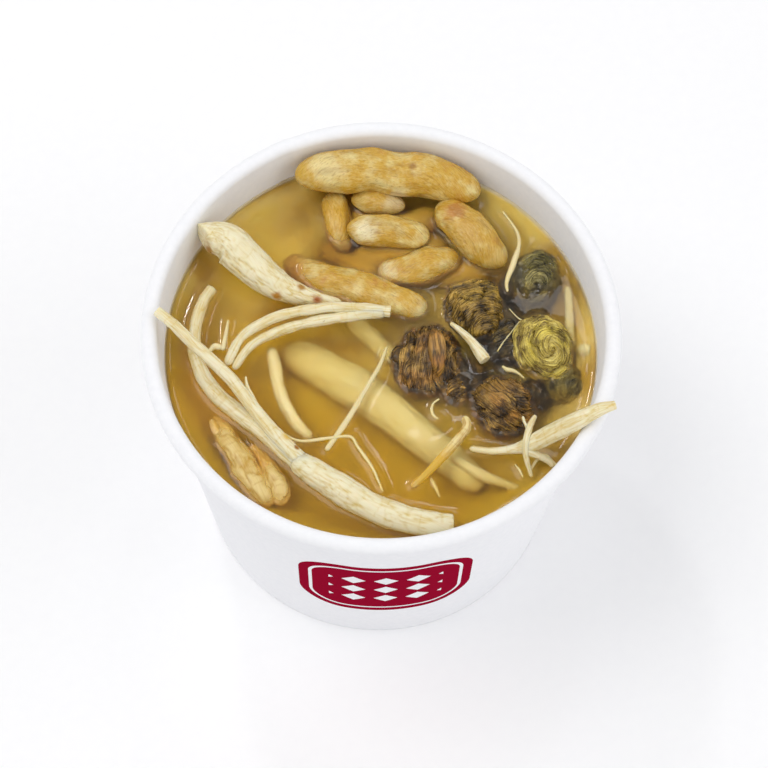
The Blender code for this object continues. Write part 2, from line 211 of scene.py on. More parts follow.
def layered_noise(points: np.ndarray, seed: int, layers: int = 3) -> np.ndarray:
    """Sum of finer and weaker layers of noise.

    Args:
        points: an array of places, three numbers each.
        seed: the draw of the first layer.
        layers: how many layers are summed.

    Returns:
        One value for each place, about -1 to 1.
    """
    total = np.zeros(len(points))
    for layer in range(layers):
        total += value_noise(points * 2.0 ** layer, seed + layer) * 0.5 ** layer
    return total / (2.0 - 0.5 ** (layers - 1))


def creases(noise: np.ndarray, width: float) -> np.ndarray:
    """Thin valleys where a noise crosses zero: 1 at the bottom, 0 beyond the width."""
    return np.clip(1.0 - np.abs(noise) / width, 0.0, 1.0) ** 1.5


def mesh_object(name: str, places: np.ndarray, faces: List[Face],
                material: Material, uvs: Optional[np.ndarray] = None,
                cavity: Optional[np.ndarray] = None, round_axis: int = 0,
                girth: Optional[np.ndarray] = None) -> Piece:
    """Make a smooth shaded object at the origin.

    Args:
        name: the piece's name.
        places: vertices in metres.
        faces: corner indices, counter-clockwise from outside.
        material: its finish.
        uvs: a UV pair for each vertex, in metres.
        cavity: a furrow depth for each vertex, 0 to 1.
        round_axis: the UV axis that runs round the piece.
        girth: length of a full turn at each vertex, in metres, so the faces at the seam carry on
            past it.

    Returns:
        The object, linked to the scene.
    """
    mesh = bpy.data.meshes.new(name)
    mesh.from_pydata(places.tolist(), [], faces)
    if uvs is not None:
        layer = mesh.uv_layers.new(name=SKIN_MAP)
        loops = np.empty(len(mesh.loops), dtype=np.int32)
        mesh.loops.foreach_get("vertex_index", loops)
        corners = uvs[loops]
        if girth is not None:
            face_of = np.repeat(np.arange(len(faces)), [len(face) for face in faces])
            most = np.full(len(faces), -1.0)
            np.maximum.at(most, face_of, corners[:, round_axis])
            turn = girth[loops]
            corners[:, round_axis] += turn * (corners[:, round_axis] < most[face_of] - 0.5 * turn)
        layer.data.foreach_set("uv", corners.astype(np.float32).ravel())
    if cavity is not None:
        stored = mesh.attributes.new(CAVITY, "FLOAT", "POINT")
        stored.data.foreach_set("value", cavity.astype(np.float32))
    mesh.materials.append(material)
    mesh.validate()
    mesh.shade_smooth()
    made = bpy.data.objects.new(name, mesh)
    bpy.context.scene.collection.objects.link(made)
    return made


def ring_faces(rings: int, sides: int, corners: Sequence[Tuple[int, int]], first: int = 0,
               closed: bool = False) -> List[Face]:
    """Quads between rings of vertices that follow each other.

    Args:
        rings: how many rings there are.
        sides: vertices in a ring.
        corners: a quad's corners in turn, each as its ring and its place in it, 0 or 1.
        first: index of the first vertex.
        closed: whether the last ring joins the first.

    Returns:
        The quads.
    """
    return [tuple(first + (ring + ahead) % rings * sides + (j + on) % sides
                  for ahead, on in corners)
            for ring in range(rings if closed else rings - 1) for j in range(sides)]


def fan_faces(pole: int, first: int, sides: int, inward: bool = False) -> List[Face]:
    """Triangles from a pole to a ring of vertices.

    Args:
        pole: index of the pole.
        first: index of the ring's first vertex.
        sides: vertices in the ring.
        inward: whether they are wound the other way.

    Returns:
        The triangles.
    """
    pairs = [(first + j, first + (j + 1) % sides) for j in range(sides)]
    return [(pole, after, before) if inward else (pole, before, after) for before, after in pairs]


def circle(radius: float, height: float, sides: int) -> np.ndarray:
    """Points round a level circle, from +X."""
    turns = 2.0 * math.pi * np.arange(sides) / sides
    return np.column_stack([radius * np.cos(turns), radius * np.sin(turns), np.full(sides, height)])


def disc(radius: float, rings: int, sides: int) -> np.ndarray:
    """A point in the middle and rings of points round it, at height 0."""
    rows = [circle(radius * ring / rings, 0.0, sides) for ring in range(1, rings + 1)]
    return np.vstack([np.zeros((1, 3))] + rows)


def join_objects(objects: Sequence[Piece]) -> Piece:
    """Join meshes into the first object and return it."""
    first = objects[0]
    if len(objects) > 1:
        with bpy.context.temp_override(active_object=first, object=first,
                                       selected_objects=list(objects),
                                       selected_editable_objects=list(objects)):
            bpy.ops.object.join()
    return first


def hand_over(piece: Piece, slot: str, *nodes: str) -> None:
    """Ride a piece on the tub's body, hide the nodes it stands for and name them in the log.

    Args:
        piece: the finished piece.
        slot: not used.
        nodes: the nodes that it replaces, if any.
    """
    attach(piece, BODY)
    if nodes:
        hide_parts(*nodes)
    LOG.info("%s: %d faces, stands for %s", piece.name, len(piece.data.polygons),
             ", ".join(nodes) or "nothing")


# ---------------------------------------------------------------- finishes


def laid(tree: Tree, under: SocketValue, over: str, by: Socket,
         low: float, high: float, most: float = 1.0, least: float = 0.0, blend: str = "MIX",
         eases: bool = False) -> Socket:
    """Lay one tone over another where a value runs from low to high.

    Args:
        tree: the material's tree.
        under: the colour below.
        over: the hex colour on top.
        by: the value that decides.
        low: the value at which the upper tone starts.
        high: the value at which it has its full share.
        most: the full share.
        least: the share at the start.
        blend: how the two mix.
        eases: whether the share grows softly at both ends.

    Returns:
        The mixed colour.
    """
    share = add_node(tree, "ShaderNodeMapRange", {
        "interpolation_type": "SMOOTHSTEP" if eases else "LINEAR"}, {
            "Value": by, "From Min": low, "From Max": high, "To Min": least, "To Max": most})
    return add_node(tree, "ShaderNodeMix", {"data_type": "RGBA", "blend_type": blend}, {
        0: share.outputs["Result"], 6: under, 7: linear(over)}).outputs[2]


def blotched(tree: Tree, coords: Socket, colour: Socket,
             level: float, marks: Sequence[Mark], most: float = 1.0) -> Socket:
    """Lay ragged marks over a colour.

    Args:
        tree: the material's tree.
        coords: Object coordinates.
        colour: the colour without the marks.
        level: the broth's level in metres.
        marks: each mark's x, y, height over the broth and radius in millimetres, and its colour.
        most: how far a mark covers the colour at its middle.

    Returns:
        The colour with the marks on it.
    """
    if marks:
        tears = add_node(tree, "ShaderNodeTexNoise", None, {
            "Vector": coords, "Scale": 1.0 / (TEAR_MM * MM), "Detail": 3.0}).outputs["Fac"]
    for x, y, rise, radius, hex_colour in marks:
        away = add_node(tree, "ShaderNodeVectorMath", {"operation": "DISTANCE"}, {
            0: coords, 1: (x * MM, y * MM, level + rise * MM)}).outputs["Value"]
        ragged = add_node(tree, "ShaderNodeMath", {"operation": "MULTIPLY_ADD"}, {
            0: tears, 1: 1.6 * radius * MM, 2: away}).outputs[0]
        colour = laid(tree, colour, hex_colour, ragged, 2.0 * radius * MM, 1.1 * radius * MM, most,
                      eases=True)
    return colour


def drawn_out(tree: Tree, spot: Socket, run_mm: float, width_mm: float,
              roughness: float, distortion: float = 0.0) -> Socket:
    """Fibres along a piece: a noise that is drawn out along it.

    Args:
        tree: the material's tree.
        spot: the piece's UV map.
        run_mm: length of a fibre.
        width_mm: its width.
        roughness: weight of the finer layers.
        distortion: how far the fibres sway.

    Returns:
        The noise, 0 to 1.
    """
    stretch = add_node(tree, "ShaderNodeMapping", None, {
        "Vector": spot, "Scale": (1.0 / (run_mm * MM), 1.0 / (width_mm * MM), 1.0)})
    return add_node(tree, "ShaderNodeTexNoise", None, {
        "Vector": stretch.outputs["Vector"], "Scale": 1.0, "Detail": 4.0, "Roughness": roughness,
        "Distortion": distortion}).outputs["Fac"]


def wet_surface(tree: Tree, shader: bpy.types.Node, colour: Socket,
                share: Socket, gloss: Tuple[float, float],
                relief: Socket, bump: Tuple[float, float]) -> None:
    """Give a shader its colour, a gloss that is lost with depth, and fine relief.

    Args:
        tree: the material's tree.
        shader: its shader.
        colour: the veiled colour.
        share: the veil's share.
        gloss: roughness in the open, and the veil's share at which the surface is dull.
        relief: height of the fine relief.
        bump: its strength, and its depth in millimetres.
    """
    tree.links.new(colour, shader.inputs["Base Color"])
    dull = add_node(tree, "ShaderNodeMapRange", None, {
        "Value": share, "From Max": gloss[1], "To Min": gloss[0], "To Max": DULL})
    tree.links.new(dull.outputs["Result"], shader.inputs["Roughness"])
    fine = add_node(tree, "ShaderNodeBump", None, {
        "Strength": bump[0], "Distance": bump[1] * MM, "Height": relief})
    tree.links.new(fine.outputs["Normal"], shader.inputs["Normal"])


@dataclass(frozen=True)
class Cloud:
    """Fine fat and fibre that cloud the broth: matt gold, deeper in colour towards the front, with
    patches of painted shade and painted light.
    """
    name: str = "broth_cloud"
    gold: str = "E4CF78"
    tan: str = "DCC584"
    amber: str = "C0A02A"
    umber: str = "AE8818"
    fleck: str = "DDB42C"
    gold_share: Triple = (0.42, 0.58, 1.0)     # the patches' value from, and to, and the most
    umber_share: Triple = (0.44, 0.34, 0.8)
    fleck_share: Triple = (0.35, 0.65, 0.32)
    ahead: Triple = (0.4, 0.9, 0.0)            # the way from which the amber comes on
    ahead_mm: Tuple[float, float] = (2.0, -20.0)
    ahead_most: float = 0.97
    shade_and_light_patches: Tuple[Tuple[float, float, float, float, str], ...] = (   # x, y, radius, share, colour; those at (-12, 28), (44, 21) and (29.5, 4) are painted shade beside the strips and round and between the coils, where dark herbs also lie; those at (47, 2) and (-42, -12) are painted light where the right coil and the front wall shade the broth
        (-12.0, 28.0, 10.5, 0.92, "7E581E"),
        (44.0, 21.0, 15.0, 0.8, "8A7030"),
        (29.5, 4.0, 13.0, 0.92, "36280F"),
        (47.0, 2.0, 7.0, 0.7, "F0DE98"),
        (-20.0, 0.0, 11.0, 0.5, "BC963A"),
        (-42.0, -12.0, 15.0, 0.7, "DEB236"),
    )
    patch_mm: float = 16.0
    speck_mm: float = 1.8
    clear_mm: float = 0.3              # depth at which the cloud starts to veil a piece
    depth_mm: float = 9.5              # depth at which it hides a piece
    stain: str = "FCE698"              # what the broth does to a pale skin
    stain_mm: float = 2.6

    def colour(self, tree: Tree, coords: Socket) -> Socket:
        """Add the cloud's colour by place.

        Args:
            tree: the material's tree.
            coords: Object coordinates.

        Returns:
            The colour.
        """
        patches, specks = [add_node(tree, "ShaderNodeTexNoise", None, {
            "Vector": coords, "Scale": 1.0 / (size * MM), "Detail": detail}).outputs["Fac"]
            for size, detail in ((self.patch_mm, 2.0), (self.speck_mm, 1.0))]
        mixed = laid(tree, linear(self.tan), self.gold, patches, *self.gold_share)
        mixed = laid(tree, mixed, self.umber, patches, *self.umber_share)
        slope = add_node(tree, "ShaderNodeVectorMath", {"operation": "DOT_PRODUCT"}, {
            0: coords, 1: self.ahead}).outputs["Value"]
        low, high = self.ahead_mm
        mixed = laid(tree, mixed, self.amber, slope, low * MM, high * MM, self.ahead_most)
        flat = add_node(tree, "ShaderNodeVectorMath", {"operation": "MULTIPLY"}, {
            0: coords, 1: (1.0, 1.0, 0.0)}).outputs["Vector"]
        # patches of painted shade and painted light, by place
        for x, y, radius, most, hex_colour in self.shade_and_light_patches:
            away = add_node(tree, "ShaderNodeVectorMath", {"operation": "DISTANCE"}, {
                0: flat, 1: (x * MM, y * MM, 0.0)}).outputs["Value"]
            mixed = laid(tree, mixed, hex_colour, away, radius * MM, 0.3 * radius * MM, most,
                         eases=True)
        return laid(tree, mixed, self.fleck, specks, *self.fleck_share)

    def veil(self, tree: Tree, coords: Socket,
             colour: Socket, level: float) -> Tuple[Socket, ...]:
        """Veil a piece's colour by its depth in the broth.

        Args:
            tree: the material's tree.
            coords: Object coordinates.
            colour: the piece's own colour.
            level: the broth's level in metres.

        Returns:
            The veiled colour, and the veil's share from 0 to 1.
        """
        height = add_node(tree, "ShaderNodeSeparateXYZ", None, {"Vector": coords}).outputs["Z"]
        colour = laid(tree, colour, self.stain, height, level + 0.2 * MM,
                      level - self.stain_mm * MM, blend="MULTIPLY")
        share = add_node(tree, "ShaderNodeMapRange", None, {
            "Value": height, "From Min": level - self.clear_mm * MM,
            "From Max": level - self.depth_mm * MM}).outputs["Result"]
        veiled = add_node(tree, "ShaderNodeMix", {"data_type": "RGBA"}, {
            0: share, 6: colour, 7: self.colour(tree, coords)}).outputs[2]
        return veiled, share

    def material(self) -> Material:
        """Build the cloud's own surface."""
        made, tree, shader = new_material(self.name, {"Roughness": 1.0, "Specular IOR Level": 0.0})
        coords = add_node(tree, "ShaderNodeTexCoord").outputs["Object"]
        tree.links.new(self.colour(tree, coords), shader.inputs["Base Color"])
        return made


@dataclass(frozen=True)
class CoatedBoard:
    """Paper board with a thin plastic coat: white, smooth, faintly mottled by the fibre."""
    name: str
    white: str = "F7F7F9"
    shade: str = "EDEEF2"
    print_red: str = "96102E"
    roughness: float = 0.42
    specular: float = 0.3
    fibre_mm: float = 1.4          # real fibres are finer; as coarse as shows
    printed: bool = False
    print_across_mm: float = 3.0   # centre of the print, round the wall from the front
    print_height_mm: float = 41.0  # and over the foot
    print_half_width_mm: float = 22.0
    print_half_height_mm: float = 20.0
    print_corner_mm: float = 12.0
    line_inset_mm: float = 2.6
    line_mm: float = 0.9
    stud_pitch_mm: float = 8.0
    stud_rows: int = 2
    stud_half_mm: float = 3.0

    def material(self) -> Material:
        """Build the board, with a plain printed panel if asked."""
        made, tree, shader = new_material(self.name, {
            "Roughness": self.roughness, "Specular IOR Level": self.specular})
        coords = add_node(tree, "ShaderNodeTexCoord").outputs["Object"]
        fibre = add_node(tree, "ShaderNodeTexNoise", None,
                         {"Vector": coords, "Scale": 1.0 / (self.fibre_mm * MM), "Detail": 3.0})
        result = add_node(tree, "ShaderNodeMix", {"data_type": "RGBA"}, {
            0: fibre.outputs["Fac"], 6: linear(self.white), 7: linear(self.shade)}).outputs[2]
        if self.printed:
            result = self.printed_colour(tree, result)
        tree.links.new(result, shader.inputs["Base Color"])
        bump = add_node(tree, "ShaderNodeBump", None,
                        {"Strength": 0.12, "Distance": 0.03 * MM, "Height": fibre.outputs["Fac"]})
        tree.links.new(bump.outputs["Normal"], shader.inputs["Normal"])
        return made

    def printed_colour(self, tree: Tree,
                       ground: Socket) -> Socket:
        """Lay the panel, its inner line and its rows of studs over the board's colour.

        Args:
            tree: the material's tree.
            ground: the colour of the bare board.

        Returns:
            The printed colour.
        """
        spot = add_node(tree, "ShaderNodeUVMap", {"uv_map": SKIN_MAP}).outputs["UV"]
        parts = add_node(tree, "ShaderNodeSeparateXYZ", None, {"Vector": spot})
        values = {"x": parts.outputs["X"], "y": parts.outputs["Y"]}
        steps = [
            ("across", "SUBTRACT", "x", self.print_across_mm * MM),
            ("up", "SUBTRACT", "y", self.print_height_mm * MM),
            ("aside", "ABSOLUTE", "across", 0.0),
            ("off", "ABSOLUTE", "up", 0.0),
        ]
        insets = {"panel": 0.0, "outer": self.line_inset_mm,
                  "inner": self.line_inset_mm + self.line_mm, "field": 3.0 * self.line_inset_mm}
        for name, inset in insets.items():            # each is 1 inside a rounded box
            corner = self.print_corner_mm - inset
            steps += [
                ("dx", "SUBTRACT", "aside", (self.print_half_width_mm - inset - corner) * MM),
                ("dx", "MAXIMUM", "dx", 0.0),
                ("dy", "SUBTRACT", "off", (self.print_half_height_mm - inset - corner) * MM),
                ("dy", "MAXIMUM", "dy", 0.0),
                ("dx", "MULTIPLY", "dx", "dx"),
                ("dy", "MULTIPLY", "dy", "dy"),
                ("apart", "ADD", "dx", "dy"),
                ("apart", "SQRT", "apart", 0.0),
                (name, "LESS_THAN", "apart", corner * MM),
            ]
        pitch = self.stud_pitch_mm * MM
        steps += [
            ("line", "SUBTRACT", "outer", "inner"),
            ("along", "PINGPONG", "across", 0.5 * pitch),
            ("rise", "PINGPONG", "up", 0.5 * pitch),
            ("stud", "ADD", "along", "rise"),
            ("stud", "LESS_THAN", "stud", self.stud_half_mm * MM),
            ("row", "LESS_THAN", "off", self.stud_rows * 0.75 * pitch),
            ("row", "MULTIPLY", "row", "field"),
            ("stud", "MULTIPLY", "stud", "row"),
            ("bare", "MAXIMUM", "line", "stud"),
            ("inked", "SUBTRACT", 1.0, "bare"),
            ("inked", "MULTIPLY", "panel", "inked"),
        ]
        for name, kind, first, second in steps:
            values[name] = add_node(tree, "ShaderNodeMath", {"operation": kind}, {
                0: values.get(first, first), 1: values.get(second, second)}).outputs[0]
        return add_node(tree, "ShaderNodeMix", {"data_type": "RGBA"}, {
            0: values["inked"], 6: ground, 7: linear(self.print_red)}).outputs[2]


@dataclass(frozen=True)
class RootSkin:
    """Boiled ginseng root: pale fibrous skin, creased along its length, damp to the touch."""
    name: str
    light: str = "EDE5C4"
    shade: str = "D8C078"
    amber: str = "DEC470"
    spot: str = "8E5A1E"
    soaked: float = 0.0            # how far the whole piece has taken up the broth's colour
    wet_share: float = 0.55        # how far it yellows at the waterline
    wet_mm: float = 3.0
    veil_clear_mm: float = 0.3
    veil_depth_mm: float = 9.5
    stain: str = "FCE698"
    spots: float = 0.35
    marks: Tuple[Mark, ...] = ()
    fibre_mm: float = 0.48
    fibre_run_mm: float = 5.0
    streaks: float = 0.32
    patch_mm: float = 6.0
    freckle_mm: float = 2.6
    roughness: float = 0.42

    def material(self, level: float) -> Material:
        """Build the skin.

        Args:
            level: the broth's level in metres; the skin yellows at it and is veiled below.

        Returns:
            The material.
        """
        made, tree, shader = new_material(self.name, {
            "Subsurface Weight": 0.4, "Subsurface Radius": (1.0, 0.8, 0.45),
            "Subsurface Scale": 1.1 * MM})
        coords = add_node(tree, "ShaderNodeTexCoord").outputs["Object"]
        spot = add_node(tree, "ShaderNodeUVMap", {"uv_map": SKIN_MAP}).outputs["UV"]
        cavity = add_node(tree, "ShaderNodeAttribute", {"attribute_name": CAVITY}).outputs["Fac"]
        fibres = drawn_out(tree, spot, self.fibre_run_mm, self.fibre_mm, 0.6)
        patches, freckles = [add_node(tree, "ShaderNodeTexNoise", None, {
            "Vector": coords, "Scale": 1.0 / (size * MM), "Detail": detail}).outputs["Fac"]
            for size, detail in ((self.patch_mm, 3.0), (self.freckle_mm, 2.0))]

        streak = add_node(tree, "ShaderNodeMapRange", None, {
            "Value": fibres, "From Min": 0.48, "From Max": 0.70})
        # the fibre streaks are the skin's own lines; the cavity darkens the furrows towards the shade
        # colour as painted shade
        deep = add_node(tree, "ShaderNodeMath", {"operation": "MULTIPLY_ADD", "use_clamp": True},
                        {0: streak.outputs["Result"], 1: self.streaks, 2: cavity}).outputs[0]
        skin = add_node(tree, "ShaderNodeMix", {"data_type": "RGBA"}, {
            0: deep, 6: linear(self.light), 7: linear(self.shade)}).outputs[2]
        skin = laid(tree, skin, self.amber, patches, 0.50, 0.78, min(1.0, 0.30 + self.soaked),
                    0.5 * self.soaked)
        skin = laid(tree, skin, self.spot, freckles, 0.74, 0.80, 2.0 * self.spots)
        height = add_node(tree, "ShaderNodeSeparateXYZ", None, {"Vector": coords}).outputs["Z"]
        skin = laid(tree, skin, self.amber, height, level + self.wet_mm * MM, level, self.wet_share,
                    eases=True)
        skin = blotched(tree, coords, skin, level, self.marks)
        cloud = Cloud(clear_mm=self.veil_clear_mm, depth_mm=self.veil_depth_mm, stain=self.stain)
        skin, share = cloud.veil(tree, coords, skin, level)
        wet_surface(tree, shader, skin, share, (self.roughness, 0.2), fibres, (0.5, 0.07))
        return made


@dataclass(frozen=True)
class CookedMeat:
    """Simmered meat strip: long fibres from cream to deep ochre, wet, with painted shade in its creases
    and folds and in a band at the broth's level, which darkens the gaps where strips touch.
    """
    name: str
    pale: str = "E6D490"
    ochre: str = "CEA33A"
    deep: str = "A2742A"
    crease_shade: str = "80501E"
    blush: str = "BC7C2C"
    waterline_shade: str = "80521C"
    shade_line_share: float = 0.6
    line_mm: float = 2.2               # how far below the broth the painted shade line runs
    grain_mm: float = 0.42
    wrinkle_mm: float = 1.0
    patch_mm: float = 5.0
    roughness: float = 0.27
    marks: Tuple[Mark, ...] = ()

    def material(self, level: float) -> Material:
        """Build the flesh.

        Args:
            level: the broth's level in metres.

        Returns:
            The material.
        """
        made, tree, shader = new_material(self.name, {
            "Subsurface Weight": 0.25, "Subsurface Radius": (1.0, 0.6, 0.2),
            "Subsurface Scale": 1.2 * MM})
        coords = add_node(tree, "ShaderNodeTexCoord").outputs["Object"]
        spot = add_node(tree, "ShaderNodeUVMap", {"uv_map": SKIN_MAP}).outputs["UV"]
        cavity = add_node(tree, "ShaderNodeAttribute", {"attribute_name": CAVITY}).outputs["Fac"]
        grain, wrinkles = [drawn_out(tree, spot, size / pull, size, 0.62, 0.5)
                           for size, pull in ((self.grain_mm, 0.34), (self.wrinkle_mm, 0.18))]
        patches = add_node(tree, "ShaderNodeTexNoise", None, {
            "Vector": coords, "Scale": 1.0 / (self.patch_mm * MM), "Detail": 4.0,
            "Roughness": 0.6}).outputs["Fac"]

        flesh = laid(tree, linear(self.ochre), self.pale, patches, 0.46, 0.68, 0.95)
        flesh = laid(tree, flesh, self.blush, patches, 0.40, 0.30, 0.6)
        flesh = blotched(tree, coords, flesh, level, self.marks, 0.85)
        flesh = laid(tree, flesh, self.pale, grain, 0.52, 0.74, 0.5)
        flesh = laid(tree, flesh, self.deep, grain, 0.48, 0.30, 0.6)
        # painted shade: the relief's valleys and the wrinkles' folds darken towards the crease shade
        fold = add_node(tree, "ShaderNodeMapRange", None, {
            "Value": wrinkles, "From Min": 0.42, "From Max": 0.28, "To Max": 0.4})
        dark = add_node(tree, "ShaderNodeMath", {"operation": "MULTIPLY_ADD", "use_clamp": True}, {
            0: cavity, 1: 0.5, 2: fold.outputs["Result"]}).outputs[0]
        flesh = add_node(tree, "ShaderNodeMix", {"data_type": "RGBA"}, {
            0: dark, 6: flesh, 7: linear(self.crease_shade)}).outputs[2]
        height = add_node(tree, "ShaderNodeSeparateXYZ", None, {"Vector": coords}).outputs["Z"]
        # painted shade: a dark band along the strips' lower edges at the broth's level
        flesh = laid(tree, flesh, self.waterline_shade, height, level + 0.8 * MM,
                     level - self.line_mm * MM, self.shade_line_share)
        flesh, share = Cloud().veil(tree, coords, flesh, level)
        relief = add_node(tree, "ShaderNodeMath", {"operation": "MULTIPLY_ADD"}, {
            0: grain, 1: 0.4, 2: wrinkles}).outputs[0]
        wet_surface(tree, shader, flesh, share, (self.roughness, 0.15), relief, (0.75, 0.34))
        return made


@dataclass(frozen=True)
class HerbStrand:
    """Dried stem steeped soft: fibrous, streaked from gold to nearly black, glistening."""
    name: str
    gold: str
    body: str
    dark: str
    accent: str
    accent_share: float = 0.6
    fibre_mm: float = 0.22
    fibre_run_mm: float = 5.0
    patch_mm: float = 3.2
    accent_mm: float = 6.5
    roughness: float = 0.34
    clear_mm: float = 1.6
    depth_mm: float = 13.0
    marks: Tuple[Mark, ...] = ()

    def material(self, level: float) -> Material:
        """Build the strand.

        Args:
            level: the broth's level in metres.

        Returns:
            The material.
        """
        made, tree, shader = new_material(self.name)
        coords = add_node(tree, "ShaderNodeTexCoord").outputs["Object"]
        spot = add_node(tree, "ShaderNodeAttribute", {"attribute_name": SKIN_MAP}).outputs["Vector"]
        cavity = add_node(tree, "ShaderNodeAttribute", {"attribute_name": CAVITY}).outputs["Fac"]
        fibres = drawn_out(tree, spot, self.fibre_run_mm, self.fibre_mm, 0.7)
        patches, warm = [add_node(tree, "ShaderNodeTexNoise", None, {
            "Vector": coords, "Scale": 1.0 / (size * MM), "Detail": detail}).outputs["Fac"]
            for size, detail in ((self.patch_mm, 3.0), (self.accent_mm, 1.0))]
        tone = add_node(tree, "ShaderNodeMath", {"operation": "MULTIPLY_ADD"}, {
            0: patches, 1: 0.9, 2: fibres}).outputs[0]
        scaled = add_node(tree, "ShaderNodeMapRange", None, {
            "Value": tone, "From Min": 0.55, "From Max": 1.35})
        ramp = add_node(tree, "ShaderNodeValToRGB", None, {"Fac": scaled.outputs["Result"]})
        stops = ramp.color_ramp.elements
        stops[0].position, stops[0].color = 0.28, linear(self.dark)
        stops[1].position, stops[1].color = 0.76, linear(self.gold)
        stops.new(0.50).color = linear(self.body)
        strand = laid(tree, ramp.outputs["Color"], self.accent, warm, 0.50, 0.62,
                      self.accent_share, blend="COLOR")
        strand = blotched(tree, coords, strand, level, self.marks, 0.72)
        # on the balls and the leaf the cavity darkens the folds and furrows as painted shade; on the
        # loose fibres it is a random darkness of each fibre
        strand = add_node(tree, "ShaderNodeMix", {"data_type": "RGBA"}, {
            0: cavity, 6: strand, 7: linear(self.dark)}).outputs[2]
        cloud = Cloud(clear_mm=self.clear_mm, depth_mm=self.depth_mm)
        strand, share = cloud.veil(tree, coords, strand, level)
        wet_surface(tree, shader, strand, share, (self.roughness, 0.15), fibres, (0.8, 0.15))
        return made


@dataclass(frozen=True)
class ClearBroth:
    """Upper layer of long simmered broth: a glossy liquid, golden by depth."""
    name: str = "clear_broth"
    tint: str = "FBF4DC"
    absorb: str = "FAEC30"
    absorb_density: float = 30.0
    ior: float = 1.34
    blur: float = 0.38                 # softens what lies deep, and leaves shallow things crisp

    def material(self) -> Material:
        """Build the liquid: lamps pass its skin, so what lies in it is lit."""
        made, tree, shader = new_material(self.name, {
            "Base Color": linear(self.tint), "Roughness": self.blur, "IOR": self.ior,
            "Transmission Weight": 1.0, "Specular IOR Level": 0.0, "Coat Weight": 0.75,
            "Coat Roughness": 0.03, "Coat IOR": self.ior})
        clear = add_node(tree, "ShaderNodeBsdfTransparent", None, {"Color": linear(self.tint)})
        lamp = add_node(tree, "ShaderNodeLightPath").outputs["Is Shadow Ray"]
        surface = add_node(tree, "ShaderNodeMixShader", None, {
            0: lamp, 1: shader.outputs["BSDF"], 2: clear.outputs["BSDF"]})
        output = tree.nodes["Material Output"]
        tree.links.new(surface.outputs["Shader"], output.inputs["Surface"])
        absorb = add_node(tree, "ShaderNodeVolumeAbsorption", None, {
            "Color": linear(self.absorb), "Density": self.absorb_density})
        tree.links.new(absorb.outputs["Volume"], output.inputs["Volume"])
        return made


@dataclass(frozen=True)
class PaleFloor:
    """Smooth painted board, nearly white."""
    name: str = "pale_floor"
    colour: str = "FBFBFC"
    shade: str = "F7F7F9"
    grain_mm: float = 10.0 / 3.0
    roughness: float = 0.7

    def material(self) -> Material:
        """Build the floor's finish."""
        made, tree, shader = new_material(self.name, {"Roughness": self.roughness})
        coords = add_node(tree, "ShaderNodeTexCoord").outputs["Object"]
        grain = add_node(tree, "ShaderNodeTexNoise", None, {
            "Vector": coords, "Scale": 1.0 / (self.grain_mm * MM)})
        tone = add_node(tree, "ShaderNodeMix", {"data_type": "RGBA"}, {
            0: grain.outputs["Fac"], 6: linear(self.colour), 7: linear(self.shade)})
        tree.links.new(tone.outputs[2], shader.inputs["Base Color"])
        return made


# ---------------------------------------------------------------- limbs


class End(Enum):
    """How a limb ends."""
    ROUND = "round"
    CUT = "cut"


@dataclass(frozen=True)
class Relief:
    """Depths and spacings of a limb's relief, in millimetres."""
    lump_depth: float = 0.3
    lump_size: float = 6.0
    furrow_depth: float = 0.25
    furrow_width: float = 1.3          # spacing round the limb
    furrow_run: float = 12.0           # length of a furrow
    furrow_sharp: float = 0.35
    ripple_depth: float = 0.0          # soft waves in the furrows' lanes
    ring_depth: float = 0.08
    ring_pitch: float = 1.1            # spacing along the limb
    ring_sharp: float = 0.3


STRIP_RELIEF = Relief(lump_depth=1.0, lump_size=6.5, furrow_depth=0.0, furrow_width=2.2,
                      furrow_run=6.5, ripple_depth=0.42, ring_depth=0.0)
THICK_RELIEF = Relief(lump_depth=0.55, lump_size=5.0, furrow_depth=0.38, furrow_width=0.9,
                      furrow_run=7.0, furrow_sharp=0.22, ring_depth=0.12, ring_pitch=2.2,
                      ring_sharp=0.12)
BODY_RELIEF = Relief(lump_depth=0.40, lump_size=5.5, furrow_depth=0.17, furrow_width=1.3,
                     furrow_run=8.0, furrow_sharp=0.16, ring_depth=0.16, ring_pitch=2.0,
                     ring_sharp=0.14)
FOLDED_RELIEF = Relief(lump_depth=0.85, lump_size=4.2, furrow_depth=0.26, furrow_width=2.2,
                       furrow_run=6.0, furrow_sharp=0.20, ring_depth=0.05, ring_pitch=1.9,
                       ring_sharp=0.12)
THIN_RELIEF = Relief(lump_depth=0.24, lump_size=3.6, furrow_depth=0.12, furrow_width=0.8,
                     furrow_run=9.0, furrow_sharp=0.24, ring_depth=0.05, ring_pitch=2.2,
                     ring_sharp=0.12)
LEAF_RELIEF = Relief(lump_depth=0.30, lump_size=3.0, furrow_depth=0.34, furrow_width=0.8,
                     furrow_run=7.0, furrow_sharp=0.30, ring_depth=0.0)
HAIR_RELIEF = Relief(lump_depth=0.10, lump_size=2.2, furrow_depth=0.0, ring_depth=0.0)


